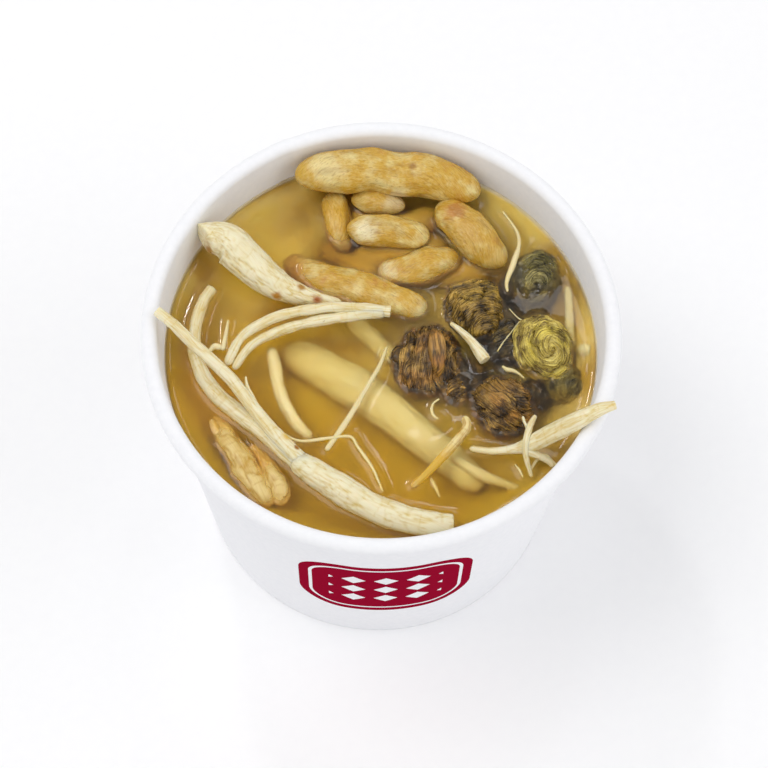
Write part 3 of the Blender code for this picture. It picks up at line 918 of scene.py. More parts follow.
class Route:
    """Smooth curve through route points, measured along its length in millimetres."""

    STEPS = 14

    def __init__(self, points: Sequence[RoutePoint], level_mm: float) -> None:
        """Sample a Catmull-Rom curve through the points, radius included.

        Args:
            points: x, y, rise over the broth, radius.
            level_mm: the broth's level.
        """
        rows = np.array([(x, y, level_mm + rise, radius) for x, y, rise, radius in points])
        padded = np.vstack([rows[:1], rows, rows[-1:]])
        samples = [rows[0]]
        for i in range(len(rows) - 1):
            a, b, c, d = padded[i:i + 4]
            for step in range(1, self.STEPS + 1):
                t = step / self.STEPS
                samples.append(0.5 * (2.0 * b + (c - a) * t + (2.0 * a - 5.0 * b + 4.0 * c - d) * t * t
                                      + (3.0 * b - a - 3.0 * c + d) * t ** 3))
        self.samples = np.array(samples)
        gaps = np.linalg.norm(np.diff(self.samples[:, :3], axis=0), axis=1)
        self.runs = np.concatenate([[0.0], np.cumsum(gaps)])
        self.length = float(self.runs[-1])

    def at(self, runs: np.ndarray) -> Tuple[np.ndarray, np.ndarray]:
        """Places and radii at distances along the curve."""
        held = np.clip(runs, 0.0, self.length)
        columns = [np.interp(held, self.runs, self.samples[:, k]) for k in range(4)]
        return np.stack(columns[:3], axis=1), columns[3]


@dataclass(frozen=True)
class Limb:
    """A tapering body along a route, with relief worked into its surface."""

    LOOK = 0.4                         # mm to each side over which the direction is taken
    LANES_DRAW = 11                    # added to the seed for the furrows
    RINGS_DRAW = 23                    # and for the rings
    RING_PATCH = 4.0                   # mm across over which a ring changes
    POLE_GIRTH = 1.0e6                 # mm, so that no face at a pole counts as past the seam

    route: Tuple[RoutePoint, ...]
    relief: Relief
    flatten: float = 1.0
    start: End = End.ROUND
    end: End = End.ROUND
    grain: float = 0.32                # size of a face, in millimetres
    wobble: float = 0.0                # sideways play of the route, in millimetres
    slant: float = 0.0                 # how far the first cut leans, in radii

    def end_rows(self, kind: End) -> List[Tuple[float, float]]:
        """Rows of an end.

        Args:
            kind: how the limb ends.

        Returns:
            Each row's distance from the tip in radii, and its share of the radius, tip first.
        """
        if kind is End.CUT:
            return [(0.0, 0.25), (0.0, 0.5), (0.0, 0.72), (0.0, 0.88), (0.03, 0.97)]
        turns = [0.5 * math.pi * i / 8 for i in range(1, 8)]
        return [(1.3 * (1.0 - math.cos(turn)), math.sin(turn)) for turn in turns]

    def build(self, name: str, level_mm: float, material: Material,
              seed: int) -> Piece:
        """Sweep the limb.

        Args:
            name: the object's name.
            level_mm: the broth's level.
            material: its finish.
            seed: the draw of its relief.

        Returns:
            The object.
        """
        route = Route(self.route, level_mm)
        first_radius, last_radius = self.route[0][3], self.route[-1][3]
        head = [(d * first_radius, f) for d, f in self.end_rows(self.start)]
        tail = [(route.length - d * last_radius, f) for d, f in self.end_rows(self.end)][::-1]
        inner_start, inner_end = head[-1][0], tail[0][0]
        count = max(6, int((inner_end - inner_start) / self.grain))
        body = [(inner_start + (inner_end - inner_start) * i / count, 1.0) for i in range(1, count)]
        rows = np.array(head + body + tail)
        runs, shares = rows[:, 0], rows[:, 1]
        places, radii = route.at(runs)
        ahead, _ = route.at(runs + self.LOOK)
        behind, _ = route.at(runs - self.LOOK)
        tangent = ahead - behind
        tangent /= np.linalg.norm(tangent, axis=1)[:, None]
        aside = np.cross(np.array([0.0, 0.0, 1.0]), tangent)
        aside /= np.linalg.norm(aside, axis=1)[:, None]
        up = np.cross(tangent, aside)

        sides = max(10, int(2.0 * math.pi * radii.max() / self.grain))
        angles = -0.5 * math.pi + 2.0 * math.pi * np.arange(sides) / sides
        run_grid = np.repeat(runs, sides)
        radius_grid = np.repeat(radii, sides)
        share_grid = np.repeat(shares, sides)
        angle_grid = np.tile(angles, len(runs))
        relief, cavity = self.relief_at(run_grid, radius_grid, angle_grid, seed)
        girth = radius_grid * share_grid + relief * np.sqrt(share_grid)
        if self.wobble:
            drift = np.stack([runs / 9.0, np.full(len(runs), seed * 0.7), np.zeros(len(runs))], axis=1)
            places = places + aside * (self.wobble * value_noise(drift, seed))[:, None]
        centre = np.repeat(places, sides, axis=0)
        across = (np.repeat(aside, sides, axis=0) * np.cos(angle_grid)[:, None]
                  + np.repeat(up, sides, axis=0) * (np.sin(angle_grid) * self.flatten)[:, None])
        grid = centre + across * girth[:, None]
        if self.slant:
            fade = np.clip(1.0 - run_grid / (2.0 * first_radius), 0.0, 1.0)
            lean = -self.slant * fade * girth * np.cos(angle_grid)
            grid = grid + np.repeat(tangent, sides, axis=0) * lean[:, None]
        verts = np.vstack([grid, places[:1], places[-1:]]) * MM

        tip = len(runs) * sides
        faces = ring_faces(len(runs), sides, ROUND_FIRST)
        faces += fan_faces(tip, 0, sides, inward=True)
        faces += fan_faces(tip + 1, tip - sides, sides)
        uvs = np.stack([run_grid, (angle_grid + 0.5 * math.pi) * radius_grid], axis=1) * MM
        uvs = np.vstack([uvs, [[runs[0] * MM, 0.0]], [[runs[-1] * MM, 0.0]]])
        cavity = np.concatenate([cavity, [0.0, 0.0]])
        turn = np.concatenate([2.0 * math.pi * radius_grid, [self.POLE_GIRTH] * 2]) * MM
        return mesh_object(name, verts, faces, material, uvs, cavity, 1, turn)

    def relief_at(self, run: np.ndarray, radius: np.ndarray, angle: np.ndarray,
                  seed: int) -> Tuple[np.ndarray, np.ndarray]:
        """Relief in millimetres, and how deep in a furrow each point lies.

        Args:
            run: distance along the limb.
            radius: local radius.
            angle: angle round the limb.
            seed: the draw.

        Returns:
            The radial offset and the cavity, 0 to 1.
        """
        r = self.relief
        x, y = radius * np.cos(angle), radius * np.sin(angle)
        slender = np.clip(radius / radius.max(), 0.35, 1.0)
        lumps = layered_noise(np.stack([run, x, y], axis=1) / r.lump_size, seed, 2)
        lanes = layered_noise(np.stack([run / r.furrow_run, x / r.furrow_width,
                                        y / r.furrow_width], axis=1), seed + self.LANES_DRAW, 3)
        furrow = creases(lanes, r.furrow_sharp) if r.furrow_depth else 0.0 * lanes
        bands = layered_noise(np.stack([run / r.ring_pitch, x / self.RING_PATCH,
                                        y / self.RING_PATCH], axis=1), seed + self.RINGS_DRAW, 2)
        ring = creases(bands, r.ring_sharp) if r.ring_depth else 0.0 * lanes
        offset = slender * (r.lump_depth * lumps - r.furrow_depth * furrow
                            + (0.35 * r.furrow_depth + r.ripple_depth) * lanes
                            - r.ring_depth * ring)
        valley = np.clip(-1.4 * lanes - 0.25, 0.0, 0.55) if r.ripple_depth else 0.0 * lanes
        return offset, np.clip(0.75 * furrow + 0.35 * ring + valley, 0.0, 1.0)


def built(name: str, limbs: Sequence[Limb], level_mm: float, material: Material,
          seed: int, step: int) -> Piece:
    """Build limbs and join them into one piece.

    Args:
        name: the piece's name.
        limbs: its limbs.
        level_mm: the broth's level.
        material: their finish.
        seed: the first limb's draw.
        step: what each next limb adds to it.

    Returns:
        The piece.
    """
    piece = join_objects([limb.build("%s_%d" % (name, part), level_mm, material, seed + step * part)
                          for part, limb in enumerate(limbs)])
    piece.name = piece.data.name = name
    return piece


# ---------------------------------------------------------------- sub-assemblies


@dataclass
class Tub:
    """Paper tub: rolled rim, tapered wall, hemmed foot and a base disc set up inside."""
    rim_radius: float
    height: float
    roll_radius: float = 2.0
    foot_radius: float = 45.4
    paper: float = 0.8
    base_paper: float = 0.6
    gap: float = 0.3
    hem_height: float = 5.5
    base_top: float = 7.5
    base_middle: float = 20.0          # a ring of points that keeps the disc's faces short
    pin_hole: float = 0.01             # the disc's middle, left open by this radius
    segments: int = 288
    roll_steps: int = 22
    roll_turn: float = 290.0           # degrees that the rim is rolled through
    wall_steps: int = 24
    bend: float = 0.35                 # radius of the fold at the foot
    seam_angle: float = 118.0          # degrees round from +X, where the wall's edges overlap
    seam_width: float = 5.0
    seam_step: float = 0.16
    seam_ease: float = 0.35

    def wall_radius(self, height: float) -> float:
        """Outside radius of the wall at a height."""
        top = self.rim_radius - 2.0 * self.roll_radius + self.paper
        share = height / (self.height - self.roll_radius)
        return self.foot_radius + (top - self.foot_radius) * share

    def inner_radius(self, height: float) -> float:
        """Inside radius of the wall at a height."""
        return self.wall_radius(height) - self.paper

    def turned(self, name: str, profile: Sequence[Tuple[float, float]],
               material: Material, seam: bool) -> Piece:
        """Turn a closed profile round the axis.

        Args:
            name: the object's name.
            profile: (radius, height) pairs; outside first, from the top down.
            material: its finish.
            seam: whether the wall's overlap is worked in.

        Returns:
            The object, its UV map measured round and up the front.
        """
        rows = np.array(profile)
        angles = 2.0 * math.pi * np.arange(self.segments) / self.segments
        radius = np.repeat(rows[:, 0], self.segments)
        height = np.repeat(rows[:, 1], self.segments)
        angle = np.tile(angles, len(rows))
        if seam:
            off = (angle - math.radians(self.seam_angle) + math.pi) % (2.0 * math.pi) - math.pi
            arc = off * radius
            edge = np.clip((0.5 * self.seam_width - np.abs(arc)) / self.seam_ease, 0.0, 1.0)
            radius = radius + self.seam_step * eased(edge)
        verts = np.stack([radius * np.cos(angle), radius * np.sin(angle), height], axis=1) * MM
        front = (angle + 0.5 * math.pi + math.pi) % (2.0 * math.pi) - math.pi
        uvs = np.stack([front * radius, height], axis=1) * MM
        faces = ring_faces(len(rows), self.segments, BACK_FIRST, closed=True)
        return mesh_object(name, verts, faces, material, uvs, None, 0, 2.0 * math.pi * radius * MM)

    def build_wall(self, material: Material) -> Piece:
        """Build the wall with its rolled rim and its hem.

        Args:
            material: its finish.

        Returns:
            The object.
        """
        centre_r = self.rim_radius - self.roll_radius
        centre_z = self.height - self.roll_radius
        roll = []
        for i in range(self.roll_steps + 1):
            turn = math.radians(180.0 - self.roll_turn * i / self.roll_steps)
            roll.append((centre_r + self.roll_radius * math.cos(turn),
                         centre_z + self.roll_radius * math.sin(turn)))
        under = self.height - 2.0 * self.roll_radius
        pocket = self.paper + 2.0 * self.gap + self.base_paper
        outside = [(self.wall_radius(z), z) for z in np.linspace(under, 0.5, self.wall_steps)]
        foot = [
            (self.wall_radius(0.12), 0.12),
            (self.wall_radius(0.0) - self.bend, 0.0),
            (self.wall_radius(0.0) - pocket - self.paper + self.bend, 0.0),
            (self.wall_radius(0.0) - pocket - self.paper, self.bend),
        ]
        hem = [
            (self.wall_radius(self.hem_height) - pocket - self.paper, self.hem_height),
            (self.wall_radius(self.hem_height) - pocket, self.hem_height),
            (self.wall_radius(self.paper) - pocket, self.paper),
            (self.inner_radius(self.paper), self.paper),
        ]
        inside = [(self.inner_radius(z), z)
                  for z in np.linspace(self.base_top, centre_z - 1.0, self.wall_steps)]
        return self.turned("tub_wall_board", roll + outside + foot + hem + inside, material, True)

    def build_base(self, material: Material) -> Piece:
        """Build the base disc and its turned-down flange.

        Args:
            material: its finish.

        Returns:
            The object.
        """
        reach = low = self.paper + self.gap
        under = self.base_top - self.base_paper
        profile = [
            (self.pin_hole, self.base_top),
            (self.base_middle, self.base_top),
            (self.wall_radius(self.base_top) - reach - 0.6, self.base_top),
            (self.wall_radius(self.base_top) - reach, self.base_top - 0.5),
            (self.wall_radius(low) - reach, low),
            (self.wall_radius(low) - reach - self.base_paper, low),
            (self.wall_radius(under) - reach - self.base_paper, under - 0.4),
            (self.wall_radius(under) - reach - self.base_paper - 0.4, under),
            (self.base_middle, under),
            (self.pin_hole, under),
        ]
        return self.turned("tub_base_board", profile, material, False)

    def dress(self) -> None:
        """Build and hand over the tub."""
        printed = CoatedBoard("coated_board_printed", printed=True, specular=0.0).material()
        hand_over(self.build_wall(printed), "paper", "tub_wall")
        hand_over(self.build_base(CoatedBoard("coated_board").material()), "paper", "tub_base")


@dataclass
class MeatStrips:
    """The heap of strips at the back."""
    level_mm: float
    wobble: float = 0.8
    marks: Tuple[Mark, ...] = (
        # the pale cream marks at (-4.8, 30.0), (0.2, 21.2) and (10.8, 9.2), on the ends of meat_middle,
        # meat_front and meat_long, are painted highlights
        (-4.8, 30.0, 5.4, 4.2, "EEE2B8"),
        (0.2, 21.2, 1.0, 3.6, "ECDCA8"),
        (28.8, 23.6, 3.6, 3.8, "D2AE58"),
        (21.5, 29.6, 6.2, 6.0, "C69A38"),
        (17.4, 36.0, 6.6, 3.6, "BC7A30"),
        (10.8, 9.2, 2.0, 4.2, "E8D496"),
        (-22.4, 44.6, 10.0, 4.0, "D0A424"),
        (-14.6, 44.6, 11.6, 5.2, "E8D698"),
        (6.1, 45.4, 11.4, 1.7, "86501E"),
        (-6.0, 40.0, 3.6, 2.8, "DABC64"),
        (2.8, 39.2, 4.0, 4.0, "D8C290"),
        (-12.0, 36.0, 1.6, 5.4, "D6A838"),
    )
    strips: Dict[str, Limb] = field(default_factory=lambda: {
        "meat_back": Limb((
            (-22.6, 43.4, 7.4, 3.5), (-13.0, 45.7, 7.0, 5.3), (0.5, 46.3, 6.0, 5.5),
            (12.5, 45.4, 5.0, 5.3), (23.6, 42.4, 3.8, 3.1)), STRIP_RELIEF, 0.9),
        "meat_short": Limb((
            (-8.6, 40.4, 1.4, 2.5), (-2.0, 40.7, 1.2, 3.3), (5.0, 39.8, 0.6, 2.7)),
            STRIP_RELIEF, 0.9),
        "meat_middle": Limb((
            (-9.4, 32.4, 2.1, 2.9), (-3.0, 31.9, 2.2, 3.8), (4.0, 31.1, 2.0, 3.8),
            (11.2, 30.9, 1.3, 2.4)), STRIP_RELIEF, 0.9),
        "meat_front": Limb((
            (-1.6, 21.3, -2.0, 2.7), (6.0, 22.7, -1.5, 4.5), (12.6, 24.2, -1.3, 4.5),
            (19.2, 26.2, -1.5, 2.5)), STRIP_RELIEF, 0.95),
        "meat_long": Limb((
            (-24.5, 25.4, -4.6, 2.4), (-16.5, 20.8, -2.5, 4.2), (-7.5, 17.6, -1.4, 4.5),
            (1.5, 14.4, -0.8, 4.2), (10.8, 10.6, -0.4, 3.1)), STRIP_RELIEF, 0.9),
        "meat_right": Limb((
            (12.4, 38.8, 2.0, 3.1), (18.4, 34.2, 2.0, 4.8), (24.8, 28.6, 1.6, 4.8),
            (30.0, 24.0, 0.8, 2.8)), STRIP_RELIEF, 0.95),
        "meat_sunk": Limb((
            (-12.8, 43.8, -1.2, 2.7), (-12.0, 38.4, -1.0, 3.4), (-11.2, 32.8, -1.6, 3.3),
            (-9.8, 27.6, -3.4, 2.0)), STRIP_RELIEF),
    })

    def build(self) -> List[Piece]:
        """Build each strip and hand it over."""
        finish = CookedMeat("cooked_meat", marks=self.marks).material(self.level_mm * MM)
        made = []
        for index, (node, limb) in enumerate(self.strips.items()):
            limb = replace(limb, wobble=self.wobble)
            piece = limb.build(node + "_strip", self.level_mm, finish, 31 + 7 * index)
            hand_over(piece, "meat", node)
            made.append(piece)
        return made


@dataclass
class Roots:
    """The ginseng roots that lie on the broth."""
    level_mm: float
    roots: Dict[str, Tuple[Limb, ...]] = field(default_factory=lambda: {
        "root_thick": (
            Limb((
                (-43.8, 24.6, 8.0, 3.4), (-38.6, 24.2, 6.8, 4.7), (-33.2, 20.4, 4.9, 4.9),
                (-27.4, 16.0, 3.5, 4.2), (-21.2, 13.2, 2.7, 2.9), (-15.0, 11.8, 2.1, 1.9),
                (-9.8, 11.2, 1.6, 1.2)), THICK_RELIEF, 1.0, End.CUT, slant=0.7),
        ),
        "root_forked": (
            Limb((
                (-20.5, -29.8, 2.0, 2.2), (-15.8, -33.2, 1.7, 3.1), (-9.6, -37.0, 1.5, 3.6),
                (-3.2, -40.8, 1.5, 3.4), (4.0, -43.9, 1.5, 3.3), (11.6, -45.6, 1.5, 3.2),
                (18.2, -45.4, 1.2, 2.2)), BODY_RELIEF, 1.0, End.ROUND, End.CUT),
            Limb((
                (-53.6, 1.4, 14.5, 1.2), (-49.2, -1.8, 13.2, 1.4), (-45.4, -4.9, 11.5, 1.5),
                (-40.4, -8.6, 9.2, 1.5), (-35.5, -12.6, 7.2, 1.5), (-31.4, -17.2, 5.6, 1.6),
                (-26.6, -22.6, 4.0, 1.7), (-19.4, -30.0, 2.4, 2.0), (-14.4, -34.2, 1.8, 2.4)),
                THIN_RELIEF, 1.0, End.CUT, grain=0.22),
            Limb((
                (-41.8, 15.0, 0.2, 1.4), (-43.8, 11.0, 0.4, 1.5), (-45.2, 4.6, 0.6, 1.6),
                (-45.0, -2.2, 0.8, 1.7), (-42.6, -9.0, 1.0, 1.9), (-38.6, -14.4, 1.2, 2.1),
                (-33.0, -19.2, 1.4, 2.1), (-27.0, -24.0, 1.6, 2.0), (-19.6, -30.6, 1.6, 2.1),
                (-14.8, -34.0, 1.4, 2.3)),
                THIN_RELIEF, 1.0, End.CUT, grain=0.24),
        ),
        "root_arched": (
            Limb((
                (-37.0, -6.6, 2.4, 1.1), (-33.9, 0.4, 3.2, 1.2), (-29.0, 4.0, 4.1, 1.3),
                (-23.7, 6.2, 4.9, 1.3), (-17.2, 7.6, 5.3, 1.3), (-10.7, 8.5, 5.3, 1.3),
                (-4.0, 8.5, 4.8, 1.4), (2.0, 8.2, 4.4, 1.5)),
                THIN_RELIEF, 1.0, End.ROUND, End.CUT, grain=0.2),
            Limb((
                (-35.4, -7.4, 1.8, 1.0), (-31.4, -1.2, 2.3, 1.1), (-25.8, 2.2, 2.8, 1.2),
                (-18.4, 4.8, 3.4, 1.3), (-10.4, 6.4, 3.9, 1.4), (-4.0, 7.4, 4.2, 1.4),
                (1.4, 8.0, 4.3, 1.3)), THIN_RELIEF, grain=0.2),
        ),
        "root_folded": (
            Limb((
                (-39.4, -18.0, -3.2, 1.6), (-37.0, -22.6, -2.2, 2.6), (-33.6, -28.6, -1.2, 3.1),
                (-30.6, -33.8, -1.0, 3.1), (-27.6, -38.4, -1.2, 2.9), (-24.4, -41.0, -1.6, 2.3)),
                FOLDED_RELIEF),
            Limb((
                (-30.6, -25.6, -3.0, 1.4), (-26.8, -30.4, -2.2, 2.1), (-24.4, -34.8, -1.4, 2.8),
                (-22.8, -38.6, -1.2, 2.7), (-23.6, -41.2, -1.6, 2.2)), FOLDED_RELIEF),
            Limb((
                (-40.2, -19.6, -1.2, 0.9), (-38.6, -22.6, -1.0, 1.2), (-36.6, -25.4, -1.6, 1.4)),
                THIN_RELIEF, grain=0.24),
        ),
        "root_right": (
            Limb((
                (55.2, -20.2, 15.6, 1.1), (51.4, -21.4, 15.4, 1.6), (46.8, -23.2, 13.3, 2.1),
                (41.4, -24.4, 8.6, 2.3), (36.2, -25.8, 4.4, 2.0), (32.1, -26.3, 2.1, 1.2),
                (27.0, -26.4, 0.9, 0.9), (21.8, -25.6, 0.3, 0.8)),
                THIN_RELIEF, 0.9, End.CUT, grain=0.22),
            Limb((
                (37.2, -18.6, 5.0, 0.5), (35.9, -21.8, 5.8, 0.7), (35.0, -25.6, 5.6, 0.9),
                (35.2, -29.0, 3.4, 0.8), (36.6, -32.6, 0.4, 0.5)), THIN_RELIEF, grain=0.16),
            Limb((
                (34.2, -18.8, 4.6, 0.4), (34.7, -20.8, 5.2, 0.5), (35.6, -23.0, 5.8, 0.6)),
                THIN_RELIEF, grain=0.14),
            Limb((
                (35.0, -27.6, 4.2, 0.8), (38.2, -28.4, 3.2, 0.9), (40.6, -29.0, 1.8, 0.8),
                (41.8, -29.8, 0.4, 0.6)), THIN_RELIEF, grain=0.16),
        ),
        "root_tail": (
            Limb((
                (20.4, -18.4, 2.9, 1.0), (21.0, -21.0, 2.7, 1.1), (19.4, -23.8, 2.4, 1.2),
                (16.8, -27.0, 1.9, 1.2), (13.8, -30.5, 1.3, 1.1), (10.9, -33.6, 0.6, 1.0),
                (8.0, -36.2, -0.4, 0.8)), THIN_RELIEF, grain=0.2),
        ),
        "root_floating": (
            Limb((
                (-26.8, 0.4, -2.3, 1.3), (-25.6, -4.8, -2.1, 1.6), (-24.4, -10.4, -2.0, 1.6),
                (-22.5, -15.3, -2.0, 1.6), (-19.6, -19.9, -2.1, 1.5), (-16.0, -23.6, -2.6, 1.2)),
                THIN_RELIEF, grain=0.24),
        ),
        "root_hair": (
            Limb((
                (1.4, 0.6, 0.2, 0.35), (-0.2, -4.6, 0.4, 0.5), (-2.7, -9.6, 0.4, 0.6),
                (-6.0, -16.4, 0.4, 0.7), (-9.2, -22.2, 0.4, 0.75), (-12.4, -27.4, 0.3, 0.6)),
                HAIR_RELIEF, grain=0.14),
        ),
        "root_stub": (
            Limb((
                (16.6, 6.4, 2.8, 0.4), (19.4, 4.2, 2.6, 0.8), (22.4, 1.0, 2.4, 1.2),
                (25.2, -3.2, 2.2, 1.6)), THIN_RELIEF, 1.0, End.ROUND, End.CUT, grain=0.18),
        ),
    })
    stained: Tuple[str, ...] = ("root_folded", "root_tail")
    marks: Tuple[Mark, ...] = (
        (-16.0, 11.0, 4.0, 1.5, "A8622C"), (-19.7, 14.0, 5.4, 1.2, "B08034"),
        (-25.7, 11.0, 4.5, 1.6, "BA8430"), (-43.4, 22.2, 6.6, 2.3, "A87A30"),
        (-50.8, -0.8, 13.8, 0.5, "6A5A20"), (-19.1, -28.4, 4.0, 0.8, "A06A1E"),
        (-21.4, -25.2, 3.6, 2.4, "E2BE5A"), (-36.0, -13.0, 1.4, 1.4, "E0BC5C"),
    )
    stained_marks: Tuple[Mark, ...] = ((13.0, -31.4, 2.2, 7.5, "D8AE3A"),)

    def build(self) -> List[Piece]:
        """Build each root and hand it over."""
        level = self.level_mm * MM
        pale = RootSkin("root_skin", marks=self.marks).material(level)
        stained = RootSkin("stained_root_skin", light="EFDFA4", shade="AC7E26", amber="CFA53E",
                           soaked=0.35, spots=0.8, marks=self.stained_marks).material(level)
        floating = RootSkin("floating_root_skin", light="F2EDD0", shade="E6DAB0", spots=0.2,
                            wet_share=0.0, stain="FAF2D0").material(level)
        made = []
        for index, (node, limbs) in enumerate(self.roots.items()):
            finish = stained if node in self.stained else pale
            if node == "root_floating":
                finish = floating
            piece = built(node + "_skin", limbs, self.level_mm, finish, 101 + 13 * index, 3)
            hand_over(piece, "soaked_root" if node in self.stained else "root", node)
            made.append(piece)
        return made


class Herb(Enum):
    """Which herb a coil is wound from, and how far it has steeped."""
    DARK = "dark"
    RED = "red"
    GREEN = "green"
    OLIVE = "olive"                    # just under the surface
    SUNK = "sunk"


@dataclass(frozen=True)
class Coil:
    """Leafy stems wound into a ball."""
    node: str
    slot: str
    herb: Herb
    centre: Triple
    radii: Triple
    turns: float                       # folds from pole to pole
    lean: float
    heading: float
    starts: int = 1                    # folds that begin side by side
    fibres: int = 220

    @property
    def size(self) -> float:
        """Mean radius."""
        return sum(self.radii) / 3.0


@dataclass
class HerbCoils:
    """Wound herb coils: a crumpled ball of folds, and Geometry Nodes sweep its loose fibres."""
    level_mm: float
    grain: float = 0.22                # size of a face of the ball
    swell: float = 1.2                 # the folds' crests stand out from the plain ball
    plain_size: float = 7.0            # mean radius for which the depths are given
    fold_depth: float = 1.5
    fold_lip: float = 0.16             # share of a fold over which its edge rises
    fold_warp: float = 0.8             # how far the folds stray, in folds
    lump_depth: float = 1.1
    fibre_depth: float = 0.34
    fibre_run: float = 4.0
    fibre_width: float = 0.75
    gully: float = 0.30                # sharpness of the furrows between fibres
    fibre_radius: float = 0.15
    fibre_step: float = 0.45           # between the points of a fibre
    fibre_reach: Tuple[float, float] = (4.0, 12.0)     # length of a loose fibre
    fibre_slant: float = 0.12          # how far it strays from its fold
    fibre_lift: Tuple[float, float] = (-0.05, 0.16)
    fibre_arch: float = 0.25           # the most that its middle stands off
    pole_cosine: float = 0.92          # no fibre starts nearer a pole than this
    pole_gap: float = 0.12             # radians; and none runs nearer than this
    coils: Tuple[Coil, ...] = (
        Coil("coil_back", "dark_herb", Herb.DARK, (22.6, 12.4, -1.5), (7.0, 6.4, 8.0), 4.0, 70, 20),
        Coil("coil_right", "green_herb", Herb.GREEN, (39.4, 1.8, -1.0), (6.8, 8.2, 6.4), 3.6, 28, 35),
        Coil("coil_left", "red_herb", Herb.RED, (11.2, -1.8, -2.8), (9.4, 7.2, 8.0), 4.0, 80, 75, 2),
        Coil("coil_front", "red_herb", Herb.RED, (29.8, -13.8, -2.8), (7.8, 7.4, 7.0), 4.0,
             60, 130, 2),
        Coil("coil_far", "dark_herb", Herb.OLIVE, (37.4, 21.4, -5.0), (6.0, 8.4, 5.8), 3.0, 30, 350),
        Coil("coil_small", "red_herb", Herb.RED, (18.0, -10.0, -1.2), (2.8, 2.6, 3.8), 2.0,
             85, 15, 1, 50),
    )
    sunk: Tuple[Coil, ...] = (
        Coil("sunk_coil_right", "green_herb", Herb.OLIVE, (45.2, -6.4, -4.8), (5.0, 5.2, 4.8), 4.0,
             35, 40, 1, 80),
        Coil("sunk_tangle_middle", "dark_herb", Herb.SUNK, (29.8, 7.0, -4.2), (5.4, 4.4, 8.6), 3.0,
             80, 10, 1, 120),
        Coil("sunk_tangle_side", "dark_herb", Herb.SUNK, (21.4, -4.6, -6.4), (4.6, 4.4, 5.0), 3.0,
             60, 60, 1, 60),
        Coil("sunk_tangle_front", "dark_herb", Herb.SUNK, (37.4, -9.0, -6.6), (4.6, 4.4, 4.4), 3.0,
             75, 80, 1, 60),
        Coil("sunk_tangle_far", "dark_herb", Herb.SUNK, (32.6, 18.6, -7.0), (4.2, 4.2, 4.6), 3.0,
             50, 20, 1, 60),
    )
    leaves: Dict[str, Limb] = field(default_factory=lambda: {
        "coil_left": Limb((
            (12.2, 4.8, 0.8, 0.9), (13.0, 2.2, 3.4, 1.9), (13.5, -1.2, 4.6, 2.3),
            (13.9, -4.6, 3.6, 1.9), (13.9, -7.4, 0.8, 0.8)), LEAF_RELIEF, grain=0.16),
    })
    red_marks: Tuple[Mark, ...] = (
        (13.1, 2.2, 5.4, 2.6, "C48A42"),
        (13.6, -1.4, 6.8, 3.0, "CE9A4E"),
        (13.9, -5.0, 5.4, 2.8, "B87E3C"),
        (27.6, -11.0, 3.6, 4.6, "B88C40"),
    )

    def finishes(self) -> Dict[Herb, Material]:
        """One finish for each kind of herb."""
        strands = {
            Herb.DARK: HerbStrand("dark_herb_strand", "E0B85C", "90702C", "1E1610", "947A34"),
            Herb.RED: HerbStrand("red_herb_strand", "D4AA58", "80602C", "251A12", "A2682C", 0.4,
                                 marks=self.red_marks),
            Herb.GREEN: HerbStrand("green_herb_strand", "F8E88C", "DCC45C", "6A5426", "BEAC3A", 0.5),
            Herb.OLIVE: HerbStrand("olive_herb_strand", "BFB06C", "7E7440", "2A2618", "8A8040", 0.4,
                                   clear_mm=2.6, depth_mm=13.0),
            Herb.SUNK: HerbStrand("sunk_herb_strand", "9A8248", "42361F", "120E0A", "5A4A2C", 0.3,
                                  clear_mm=5.0, depth_mm=18.0),
        }
        return {herb: strand.material(self.level_mm * MM) for herb, strand in strands.items()}

    def sweep_tree(self) -> Tree:
        """Geometry Nodes: a path's edges become thin uneven fibres in one mesh."""
        tree = bpy.data.node_groups.new("sweep_fibres", "GeometryNodeTree")
        face = tree.interface
        face.new_socket("Geometry", in_out="INPUT", socket_type="NodeSocketGeometry")
        for name, value in (("Fibre Radius", 0.0002), ("Unevenness", 0.6), ("Noise Size", 0.003)):
            socket = face.new_socket(name, in_out="INPUT", socket_type="NodeSocketFloat")
            socket.default_value = value
        for name, value in (("Sides", 6), ("Seed", 1)):
            socket = face.new_socket(name, in_out="INPUT", socket_type="NodeSocketInt")
            socket.default_value = value
        face.new_socket("Finish", in_out="INPUT", socket_type="NodeSocketMaterial")
        face.new_socket("Geometry", in_out="OUTPUT", socket_type="NodeSocketGeometry")
        given = add_node(tree, "NodeGroupInput").outputs
        curve = add_node(tree, "GeometryNodeMeshToCurve", None, {"Mesh": given["Geometry"]})
        place = add_node(tree, "GeometryNodeInputPosition").outputs["Position"]
        scale = add_node(tree, "ShaderNodeMath", {"operation": "DIVIDE"}, {
            0: 1.0, 1: given["Noise Size"]}).outputs[0]
        noise = add_node(tree, "ShaderNodeTexNoise", {"noise_dimensions": "4D"}, {
            "Vector": place, "W": given["Seed"], "Scale": scale}).outputs["Fac"]
        spline = add_node(tree, "GeometryNodeSplineParameter").outputs
        run = add_node(tree, "GeometryNodeCaptureAttribute", {"domain": "POINT"}, {
            "Geometry": curve.outputs["Curve"]})
        run.capture_items.new("FLOAT", "Run")
        tree.links.new(spline["Length"], run.inputs["Run"])
        draw = add_node(tree, "FunctionNodeRandomValue", {"data_type": "FLOAT"}, {
            2: -0.5, 3: 0.8, "Seed": given["Seed"]})
        shade = add_node(tree, "GeometryNodeCaptureAttribute", {"domain": "CURVE"}, {
            "Geometry": run.outputs["Geometry"]})
        shade.capture_items.new("FLOAT", "Shade")
        tree.links.new(draw.outputs[1], shade.inputs["Shade"])
        values = {"noise": noise, "uneven": given["Unevenness"], "share": spline["Factor"],
                  "shade": shade.outputs["Shade"]}
